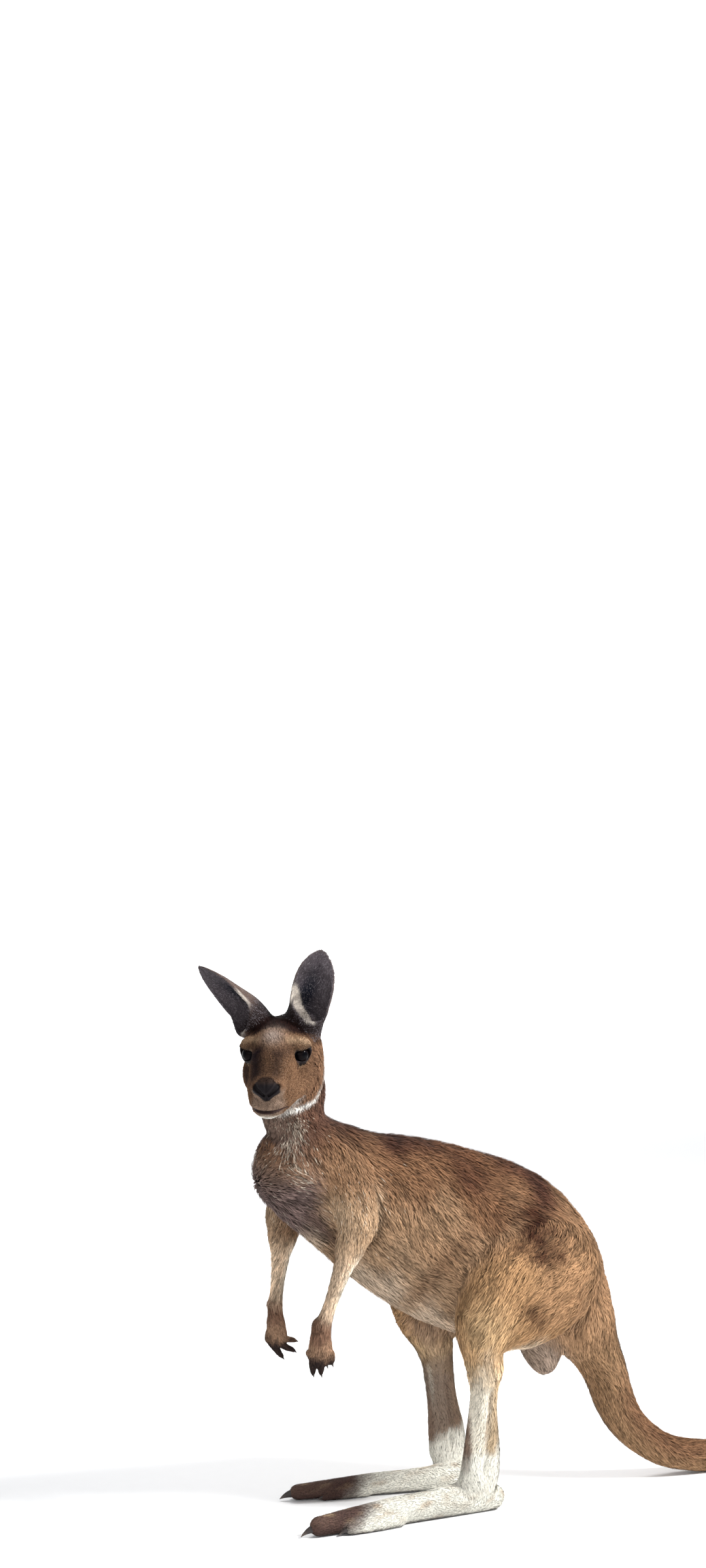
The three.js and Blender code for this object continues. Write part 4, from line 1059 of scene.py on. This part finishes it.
def hornShader():
    along = attribute("along")
    streaks = noise(40, 3, Socket.node("ShaderNodeVectorMath", {"operation": "MULTIPLY"},
                                       i0=attribute("grain", 1), i1=(1.0, 0.12, 1.0)))
    colour = plain("claw").toward("clawTip", along.ramped(0.55, 1.0) * 0.7)
    return {"Base Color": colour.scaled(0.7 + 0.6 * streaks), "Roughness": 0.28 + 0.25 * streaks,
            "Normal": bumps(streaks, 0.3, 0.0004)}


def eyeShader():
    rim, streaks = attribute("fromMiddle"), noise(500, 2)
    iris = rim.ramped(0.30, 0.36) * (1 - rim.ramped(0.66, 0.76))
    return {"Base Color": plain("pupil").toward("iris", iris * (0.6 + 0.5 * streaks)),
            "Roughness": 0.1 + 0.05 * streaks}


for name, build, level in (("coat", coatShader, 0.08), ("skin", skinShader, 0.15), ("horn", hornShader, 0.5),
                           ("eye", eyeShader, 0.04)):
    material(name, build, Specular_IOR_Level=level)


def added(name, data):
    made = bpy.data.objects.new(name, data)
    bpy.context.scene.collection.objects.link(made)
    return made


def piece(name, points, triangles, values, look, replaced=(), coatMap=None):
    mesh = bpy.data.meshes.new(name)
    mesh.vertices.add(len(points))
    mesh.vertices.foreach_set("co", ((points - frameOrigin) * millimetre).astype(np.float32).ravel())
    mesh.loops.add(triangles.size)
    mesh.loops.foreach_set("vertex_index", triangles.astype(np.int32).ravel())
    mesh.polygons.add(len(triangles))
    mesh.polygons.foreach_set("loop_start", np.arange(0, triangles.size, 3, dtype=np.int32))
    mesh.update(calc_edges=True)
    mesh.polygons.foreach_set("use_smooth", np.ones(len(triangles), bool))
    for key, value in values.items():
        kind, field = ("FLOAT", "value") if value.ndim == 1 else ("FLOAT_VECTOR", "vector")
        mesh.attributes.new(key, kind, "POINT").data.foreach_set(field, value.astype(np.float32).ravel())
    if coatMap is not None:
        layer = mesh.uv_layers.new(name="OFBake")
        layer.data.foreach_set("uv", coatMap[triangles.ravel()].astype(np.float32).ravel())
    mesh.materials.append(materials[look])
    made = added(name, mesh)
    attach(made, "root")
    if replaced:
        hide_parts(*replaced)
    say(f"{name}: {len(triangles)} triangles")


flesh = ["trunk", "neck", "head", "scrotum", "tail_root", "tail_middle", "tail_end"]
flesh += [f"{part}_{side}" for part in ("ear", "upper_arm", "forearm", "hand", "thigh", "shin", "foot")
          for side in sides]
piece("skin", skinPoints, skinTriangles, {"tint": skinTints}, "skin", flesh)


def lofted(rings, tip=None):       # closed rings of points joined into a skin, with an end point
    rings = np.array(rings)
    rows, around = rings.shape[:2]
    points = [*rings.reshape(-1, 3), rings[0].mean(0), rings[-1].mean(0) if tip is None else tip]
    here = np.arange(around)
    after = (here + 1) % around
    wall = np.array([here, after, after + around, here, after + around, here + around])
    walls = [row + wall for row in range(0, (rows - 1) * around, around)]
    start, end = np.full(around, len(points) - 2), np.full(around, len(points) - 1)
    last = (rows - 1) * around
    caps = [here, start, after, last + here, last + after, end]
    return np.array(points), np.stack([*walls, caps]).transpose(0, 2, 1).reshape(-1, 3)


eyeball = {"rows": 40, "around": 48, "corneaRise": 0.9, "corneaWidth": 0.62}
for side, sign in zip(sides, (1, -1)):
    middle = onHead([-eye["back"], sign * eye["apart"], 0])
    front = np.array([np.cos(gaze), sign * np.sin(gaze), 0.0]) @ headAxes
    level = np.cross([0, 0, 1], front)
    turn = 2 * np.pi * np.arange(eyeball["around"]) / eyeball["around"]
    ring = np.outer(np.cos(turn), level) + np.outer(np.sin(turn), [0, 0, 1.0])
    rings, fromMiddle = [], []
    for polar in np.pi * np.arange(eyeball["rows"] - 1, 0, -1) / eyeball["rows"]:
        ahead = polar < np.pi / 2
        reach = eye["radius"] + eyeball["corneaRise"] * bell(np.sin(polar), eyeball["corneaWidth"], 4) * ahead
        rings.append(middle + reach * (np.cos(polar) * front + np.sin(polar) * ring))
        fromMiddle += [np.sin(polar) if ahead else 1.0] * eyeball["around"]
    points, triangles = lofted(rings, middle + front * (eye["radius"] + eyeball["corneaRise"]))
    piece(f"eye_{side}", points, triangles, {"fromMiddle": np.array([*fromMiddle, 1.0, 0.0])}, "eye",
          [f"eye_{side}"])


# a toe's claw: root and end along the foot, place out, heights of both, radius
claws = {
    "toes": {"great": [1, 1.1, 0, 12, 3, 8], "outer": [0.85, 0.922, 18, 8, 2.5, 4.6],
             "inner": [0.86, 0.905, -17, 6.5, 2.5, 3]},
    "toeStraight": 0.65, "length": 9, "radius": 2.6, "straight": 0.45, "droop": [0, 0.25, -0.35],
    "tip": 0.4, "narrow": 0.8, "taper": 1.3, "rows": 10, "around": 14, "keel": 0.14,
}


def clawPoints(start, through, tip, radius):
    start, through, tip = [np.array(point, float) for point in (start, through, tip)]
    along = unit(tip - start)
    side = unit(np.cross(along, [0, 0.3, 1]))
    up = np.cross(side, along)
    turn = 2 * np.pi * np.arange(claws["around"]) / claws["around"]
    keel = 1 + claws["keel"] * np.sin(turn)      # flatter under, ridged on top
    rings = []
    for t in np.linspace(0, 1, claws["rows"]):
        centre = mix(mix(start, through, t), mix(through, tip, t), t)
        thick = mix(radius, claws["tip"], t ** claws["taper"])
        rings.append(centre + np.outer(np.cos(turn) * claws["narrow"] * thick, side)
                     + np.outer(np.sin(turn) * keel * thick, up))
    return lofted(rings)


def clawPiece(name, parts, nodes):
    found = [clawPoints(*part) for part in parts]
    count = len(found[0][0])
    t = np.repeat(np.linspace(0, 1, claws["rows"]), claws["around"])
    turn = np.tile(np.arange(claws["around"]) / claws["around"], claws["rows"]) * 6.28
    grain = np.append(np.stack([np.cos(turn), t, np.sin(turn)], 1), np.zeros((2, 3)), axis=0)
    values = {"along": np.tile([*t, 0, 1], len(parts)), "grain": np.tile(grain, (len(parts), 1))}
    piece(name, np.concatenate([points for points, _ in found]),
          np.concatenate([triangles + i * count for i, (_, triangles) in enumerate(found)]),
          values, "horn", nodes)


for side in sides:
    leg, arm = legs[side], arms[side]
    parts = []
    for root, reach, out, height, low, radius in claws["toes"].values():
        top = height * leg["instep"]
        straight = mix(root, reach, claws["toeStraight"])
        parts.append([onFoot(leg, root, out, top), onFoot(leg, straight, out, top),
                      onFoot(leg, reach, out, low), radius])
    clawPiece(f"foot_claws_{side}", parts, [f"claw_foot_{side}_{toe}" for toe in claws["toes"]])
    parts = []
    for _, knuckle, end in [fingerLine(arm, index) for index in range(5)]:
        along = unit(end - knuckle)
        parts.append([end, end + along * claws["length"] * claws["straight"],
                      end + unit(along + claws["droop"]) * claws["length"], claws["radius"]])
    clawPiece(f"hand_claws_{side}", parts, [f"claw_hand_{side}_{index + 1}" for index in range(5)])


# the coat: tapering tufts that lie along the body
# length and width of a tuft, length of a lock (clump) and its width (strand) in millimetres; lift is how
# high the tips stand in the coat's depth, pull how far they draw together, comb how well they follow the
# lock, locks how much its shade is shared, spread the disorder in radians, calm evens out the shades, grey
# is the share of grey hairs
coatKeys = ["regions", "slot", "pieces", "tufts", "rows", "length", "width", "lift", "clump", "strand", "pull",
            "comb", "locks", "spread", "calm", "grey"]
coats = {name: dict(zip(coatKeys, row)) for name, row in {
    "flank": [["trunk", "thigh"], "body_fur", 4, 144000, 3, 22, 1.8, 1.0, 34, 4.5, 0.8, 0.4, 0.52, 0.2, 0, 0],
    "neck": [["neck"], "body_fur", 1, 27000, 3, 16, 1.3, 1.0, 24, 3.5, 0.75, 0.3, 0.4, 0.22, 0, 0],
    "tail": [["tail", "scrotum"], "tail_fur", 1, 38000, 2, 15, 1.4, 0.9, 26, 3.5, 0.6, 0.3, 0.35, 0.14, 0, 0],
    "shins": [["shin"], "limb_fur", 1, 22000, 2, 12, 1.4, 0.8, 18, 2.5, 0.5, 0.3, 0.3, 0.14, 0.72, 0],
    "feet": [["foot"], "limb_fur", 1, 27000, 2, 8, 1.1, 0.7, 14, 2, 0.4, 0.3, 0.3, 0.14, 0.72, 0],
    "arms": [["upperArm", "forearm"], "limb_fur", 1, 23000, 3, 14, 1.2, 0.9, 22, 3, 0.7, 0.3, 0.4, 0.18, 0, 0],
    "hands": [["hand"], "limb_fur", 1, 12000, 2, 5.5, 0.7, 0.8, 9, 1.6, 0.4, 0.3, 0.3, 0.16, 0, 0],
    "head": [["head"], "head_fur", 1, 56000, 2, 7.5, 0.75, 0.8, 12, 1.8, 0.5, 0.3, 0.35, 0.16, 0, 0],
    "ears": [["ear"], "ear_fur", 1, 27000, 2, 4.6, 0.6, 0.6, 10, 1.6, 0.4, 0.3, 0.3, 0.2, 0, 0.45],
}.items()}
# by rows: places up a tuft with their share of its width; how far its root reaches into the skin, how near
# to the floor hair comes, and between which shares lengths, widths, heights and the draw to a lock vary
tuft = {
    "rows": {2: [[0, 1], [0.5, 1]], 3: [[0, 1], [0.35, 1], [0.72, 0.8]]}, "root": 0.6, "floor": 0.4,
    "length": (0.7, 1.25), "width": (0.7, 1.3), "height": (0.55, 1.0), "draw": (0.5, 1.2), "arch": 0.75,
    "patch": 0.003,                # size of one tuft on the coat's map
}
whorl = {"centre": [88, 107, 507], "radius": 45, "pull": 1.1}      # on the hip, the hair lies away from it
hashPrimes = np.array([73856093, 19349663, 83492791])


def clumpCentres(points, size, seed):
    cell = np.floor(points / size).astype(np.int64)
    best, centre = np.full(len(points), huge), np.zeros_like(points)
    for step in grid(*[[-1, 0, 1]] * 3):
        here = cell + step
        jitter = []
        for axis in range(3):      # a steady random number for each cell
            mixed = np.bitwise_xor.reduce(here * hashPrimes, axis=1) ^ (axis + seed) * 2654435
            mixed = (mixed ^ (mixed >> 13)) * 1274126177 & 0x7FFFFFFF
            jitter.append((mixed ^ (mixed >> 9)) % 10007 / 10007)
        found = (here + np.stack(jitter, 1)) * size
        away = ((points - found) ** 2).sum(1)
        closer = away < best
        best[closer], centre[closer] = away[closer], found[closer]
    return centre


def lieAt(points, normals):
    _, extra = body.at(points, withLie=True)
    _, y, z = points.T
    onTrunk = ramp(y, -230, -150) * ramp(z, 230, 300) * ramp(y, 330, 290)
    lie = extra[:, 1:] + np.array([0, 0, -0.55]) * onTrunk[:, None]
    out = unit(bothSides(points) - whorl["centre"])
    out[:, 0] *= np.sign(points[:, 0])
    lie = lie + spot(bothSides(points), whorl["centre"], whorl["radius"])[:, None] * out * whorl["pull"]
    lie = lie + 0.3 * np.stack([waves(points, 120, seed) for seed in (11, 12, 13)], 1)
    return unit(lie - normals * dots(lie, normals)[:, None])


def tuftRoots(tufts, chosen, rng):     # chosen: the skin's triangles that carry this coat
    home = rng.choice(chosen, tufts, p=skinAreas[chosen] / skinAreas[chosen].sum())
    across = rng.random((tufts, 2))
    over = across.sum(1) > 1
    across[over] = 1 - across[over]
    corners = skinTriangles[home]
    weights = np.stack([1 - across.sum(1), *across.T], 1)[:, :, None]
    roots, normals, tints = [(values[corners] * weights).sum(1)
                             for values in (skinPoints, skinNormals, skinTints)]
    normals = unit(normals)
    local = headLocal(roots)
    forward, out, up = bothSides(local, 1).T
    shape, fromEye = eyeShape(local)
    bare = (fromEye < eye["radius"] + 7) & (shape < 1.45 + 0.3 * ramp(forward - out + eye["apart"], 4, 14))
    bare |= (padShape(local) < 1.08) & (up < -33 + 2 * waves(roots, 6, 19))
    bare |= (forward > face["mouthFrom"]) & (np.abs(up - mouthLine(out)) < 2.2)
    bare |= (roots[:, 2] < 3) & (normals[:, 2] < -0.6)
    return roots[~bare], normals[~bare], tints[~bare]


def fleck(tints, roots, greyShare, rng):     # scattered pale hairs on throat and breast, grey ones in the ears
    mirrored = bothSides(roots)
    throat = 0.55 * band(mirrored, [[39, -212, 640], [41, -226, 600], [52, -222, 562]], 15)
    throat = np.maximum(throat, 0.03 * ramp(roots[:, 1], -150, -195) * ramp(roots[:, 2], 430, 520))
    throat *= ramp(roots[:, 2], 665, 645)
    pale = rng.random(len(roots)) < np.maximum(throat, 0.1 * spot(mirrored, [84, -140, 500], 46))
    grey = rng.random(len(roots)) < greyShare
    for here, name, least, most in ((pale, "cream", 0.15, 0.6), (grey, "greyHair", 0.2, 0.9)):
        tints[here] = mix(tints[here], tones[name], rng.uniform(least, most, here.sum())[:, None])


def tuftScale(roots):              # shorter on the face, longer on the cheeks, breast and belly
    local = headLocal(roots)
    forward, _, up = local.T
    shape, fromEye = eyeShape(local)
    scale = 1 - ramp(np.abs(local).max(1), 120, 100) * 0.55 * ramp(forward, 10, 60)
    scale *= 1 - 0.68 * ramp(shape, 2.6, 1.7) * ramp(fromEye, 34, 24)
    scale *= 1 - 0.5 * ramp(up, -125, -105) * ramp(up, 30, 0)
    return scale * (1 + 0.35 * ramp(roots[:, 2], 420, 340) * ramp(roots[:, 2], 240, 300))


def coatMapOf(roots, regions, corners):      # each tuft is a little patch where it grows on the unrolled body
    sweeps = [sweep for region in regions for sweep in unrolled[region]]
    owner = np.stack([partAt(sweep, roots)[0] for sweep in sweeps], 1).argmin(1)
    places = np.zeros((len(roots), 2))
    for column, sweep in enumerate(sweeps):
        mine = owner == column
        if mine.any():
            places[mine] = sweep.unwrap(roots[mine]) * [1 / len(sweeps), 1] + [column / len(sweeps), 0]
    return (0.005 + places * 0.985)[:, None] + corners * tuft["patch"]


def coatPiece(name, coat, tufts, chosen, seed):
    rng = np.random.default_rng(seed)
    roots, normals, tints = tuftRoots(tufts, chosen, rng)
    fleck(tints, roots, coat["grey"], rng)
    count, rows = len(roots), tuft["rows"][coat["rows"]]
    lie = lieAt(roots, normals)
    turn = rng.normal(size=count) * coat["spread"]
    lie = lie * np.cos(turn)[:, None] + np.cross(normals, lie) * np.sin(turn)[:, None]
    length = coat["length"] * (tuftScale(roots) * rng.uniform(*tuft["length"], count))
    # locks: narrow strands along the lie, whose tips draw together
    centre = clumpCentres(roots, coat["clump"], seed)
    guide = lieAt(centre, normals)
    sideways = np.cross(normals, guide)
    place = dots(roots - centre, sideways) / coat["strand"]
    lockRandom = (np.sin(centre @ [12.9898, 78.233, 37.719] + np.floor(place) * 17.17) * 43758.5453) % 1
    aside = (place % 1 - 0.5) * coat["strand"] * coat["pull"] * rng.uniform(*tuft["draw"], count)
    lie = unit(mix(lie, guide, coat["comb"]))
    tips = roots + lie * length[:, None] - sideways * aside[:, None]
    depth = body.at(roots)[1][:, 0]
    high = depth * coat["lift"] * rng.uniform(*tuft["height"], count) * (0.8 + 0.25 * lockRandom)
    tips = tips + normals * (high - skinAt(tips))[:, None]
    stand = dots(tips - roots, normals)
    width = coat["width"] * rng.uniform(*tuft["width"], count)
    beside = unit(np.cross(normals, tips - roots)) * (width / 2)[:, None]
    points = []
    for t, narrow in rows:
        arch = np.sin(min(t * 1.5, 1) * np.pi / 2) * tuft["arch"] * high
        arch = arch - stand * t * 0.6 - tuft["root"] * (t == 0)
        middle = mix(roots, tips, t) + normals * arch[:, None]
        points += [middle - beside * narrow, middle + beside * narrow]
    points = np.stack([*points, tips], 1).reshape(-1, 3)
    points[:, 2] = np.maximum(points[:, 2], tuft["floor"])
    along = [t for t, _ in rows for _ in (0, 1)] + [1]
    last = len(along) - 3
    pattern = [corners for a in range(0, last, 2) for corners in ((a, a + 1, a + 3), (a, a + 3, a + 2))]
    pattern = np.array([*pattern, (last, last + 1, last + 2)])
    triangles = (np.arange(count)[:, None, None] * len(along) + pattern).reshape(-1, 3)
    coatMap = coatMapOf(roots, coat["regions"], np.stack([[0, 1] * len(rows) + [0.5], along], 1))
    random = mix(rng.random(count), lockRandom, coat["locks"])
    random = 0.5 + (random - 0.5) * (1 - coat["calm"])
    piece(name, points, triangles, {"tint": np.repeat(tints, len(along), 0), "along": np.tile(along, count),
                                    "random": np.repeat(random, len(along))},
          "coat", coatMap=coatMap.reshape(-1, 2))


triangleRegion = skinRegions[skinTriangles].mean(1).argmin(1)
seed = 100
for name, coat in coats.items():
    chosen = np.flatnonzero(np.isin(triangleRegion, [regionNames.index(region) for region in coat["regions"]]))
    pieces = coat["pieces"]
    if pieces == 1:
        seed += 1
        coatPiece(f"coat_{name}", coat, coat["tufts"], chosen, seed)
        continue
    x, y, _ = skinPoints[skinTriangles[chosen]].mean(1).T
    chosen = chosen[np.argsort(y + np.where(x > 0, 5000, 0))]      # along the right side, then along the left
    running = np.cumsum(skinAreas[chosen])
    for part in range(pieces):
        seed += 1
        inside = (running > running[-1] * part / pieces) & (running <= running[-1] * (part + 1) / pieces)
        coatPiece(f"coat_{name}_{part + 1}", coat, coat["tufts"] // pieces, chosen[inside], seed)


# lashes along the upper lids
lashes = {"count": 60, "length": 10, "width": 0.9, "from": -0.75, "to": 0.98, "droop": -0.12, "seed": 7}
lashCorners = np.array([[0, 0], [1, 0], [0, 0.5], [1, 0.5], [0.5, 1]])
points = []
rng = np.random.default_rng(lashes["seed"])
for sign in (1, -1):
    outward = np.array([np.cos(gaze), sign * np.sin(gaze), 0])
    inward = np.array([np.sin(gaze), -sign * np.cos(gaze), 0])
    for t in np.linspace(lashes["from"], lashes["to"], lashes["count"]):
        ahead = -t * eye["wide"]                       # inner corner to outer corner
        lift = eye["above"] * (1 - abs(t) ** eye["corner"]) ** (1 / eye["corner"]) + 0.6
        depth = np.sqrt(max((eye["radius"] + 1.6) ** 2 - ahead ** 2 - lift ** 2, 1))
        root = np.array([-eye["back"], sign * eye["apart"], 0]) + outward * depth + inward * ahead
        root[2] = lift - eye["slant"] * ahead
        point = unit(outward * 0.75 - inward * (0.25 + 0.9 * t) + [0, 0, lashes["droop"] + 0.1 * rng.normal()])
        reach = lashes["length"] * (0.55 + 0.45 * t) * rng.uniform(0.8, 1.1)
        beside = unit(np.cross(point, [0, 0, 1.0])) * lashes["width"] / 2
        bend, end = root + point * reach * 0.5 + [0, 0, -0.6], root + point * reach + [0, 0, 0.5]
        points += [onHead(corner) for corner in (root - beside, root + beside, bend - beside * 0.7,
                                                 bend + beside * 0.7, end)]
count = len(points) // 5
spread = np.stack([np.linspace(0.01, 0.98, count), np.full(count, 0.5)], 1)
lashMap = (spread[:, None] + lashCorners * tuft["patch"]).reshape(-1, 2)
triangles = (np.arange(count)[:, None, None] * 5 + [[0, 1, 3], [0, 3, 2], [2, 3, 4]]).reshape(-1, 3)
piece("lashes", np.array(points), triangles, {
    "tint": np.tile(tones["lash"], (len(points), 1)), "along": np.tile(lashCorners[:, 1], count),
    "random": np.full(len(points), 0.5)}, "coat", coatMap=lashMap)


# a wide floor that turns up into a lit backdrop far behind the animal
stage = {"near": 5.0, "far": -9.0, "bend": 2.0, "height": 7.0, "width": 20.0, "columns": 10,
         "glow": 0.9, "glowFrom": 2.5, "glowFull": 7.0}


def floorShader():
    grain, colour = noise(35, 3), plain("floor")
    behind = Socket.node("ShaderNodeSeparateXYZ", Vector=Socket.node("ShaderNodeTexCoord", output=3))
    glow = (0 - behind).ramped(stage["glowFrom"], stage["glowFull"])
    return {"Base Color": colour.scaled(0.985 + 0.03 * grain), "Roughness": 0.55 + 0.1 * grain,
            "Emission Color": colour.scaled(glow)}


material("floor", floorShader, Specular_IOR_Level=0.2, Emission_Strength=stage["glow"])
profile = [(x, 0.0) for x in np.linspace(stage["near"], stage["far"], 15)]
profile += [(stage["far"] - stage["bend"] * np.sin(turn), stage["bend"] * (1 - np.cos(turn)))
            for turn in np.radians(np.arange(10, 91, 10))]
profile.append((stage["far"] - stage["bend"], stage["height"]))
across = stage["columns"] + 1
corners = [[x, y, z] for x, z in profile for y in np.linspace(-0.5, 0.5, across) * stage["width"]]
faces = [(a, a + 1, a + across + 1, a + across)
         for row in range(len(profile) - 1) for a in range(row * across, row * across + stage["columns"])]
mesh = bpy.data.meshes.new("floor")
mesh.from_pydata(corners, [], faces)
mesh.polygons.foreach_set("use_smooth", np.ones(len(faces), bool))
mesh.materials.append(materials["floor"])
floor = added("floor", mesh)

lights = {                         # place, size, power; all turned towards the target
    "key": [(2.0, 2.2, 3.2), 1.0, 270], "fill": [(2.6, -2.6, 1.8), 2.4, 18], "rim": [(-1.8, 0.6, 2.8), 1.4, 60],
}
target = Vector((0, -0.15, 0.5))
for name, (place, size, power) in lights.items():
    light = bpy.data.lights.new(name, "AREA")
    light.shape, light.size, light.energy = "DISK", size, power
    made = added(name, light)
    made.location = place
    made.rotation_euler = (target - Vector(place)).to_track_quat("-Z", "Y").to_euler()
world = bpy.data.worlds.new("studio")
bpy.context.scene.world = world
world.use_nodes = True
world.node_tree.nodes["Background"].inputs["Color"].default_value = (0.95, 0.97, 1.0, 1)
world.node_tree.nodes["Background"].inputs["Strength"].default_value = 0.5

view = {"lens": 57, "place": (3.70295, -2.03876, 1.138), "towards": (-0.91879, 0.39461, 0.01029)}
camera = added("camera", bpy.data.cameras.new("camera"))
camera.data.lens = view["lens"]
camera.location = view["place"]
camera.rotation_euler = Vector(view["towards"]).to_track_quat("-Z", "Y").to_euler()
bpy.context.scene.camera = camera
bpy.context.scene.view_settings.view_transform = "Standard"

for made in list(bpy.data.objects):
    if made.name in ("Cube", "Light", "Camera"):
        bpy.data.objects.remove(made)
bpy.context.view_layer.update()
say("done")
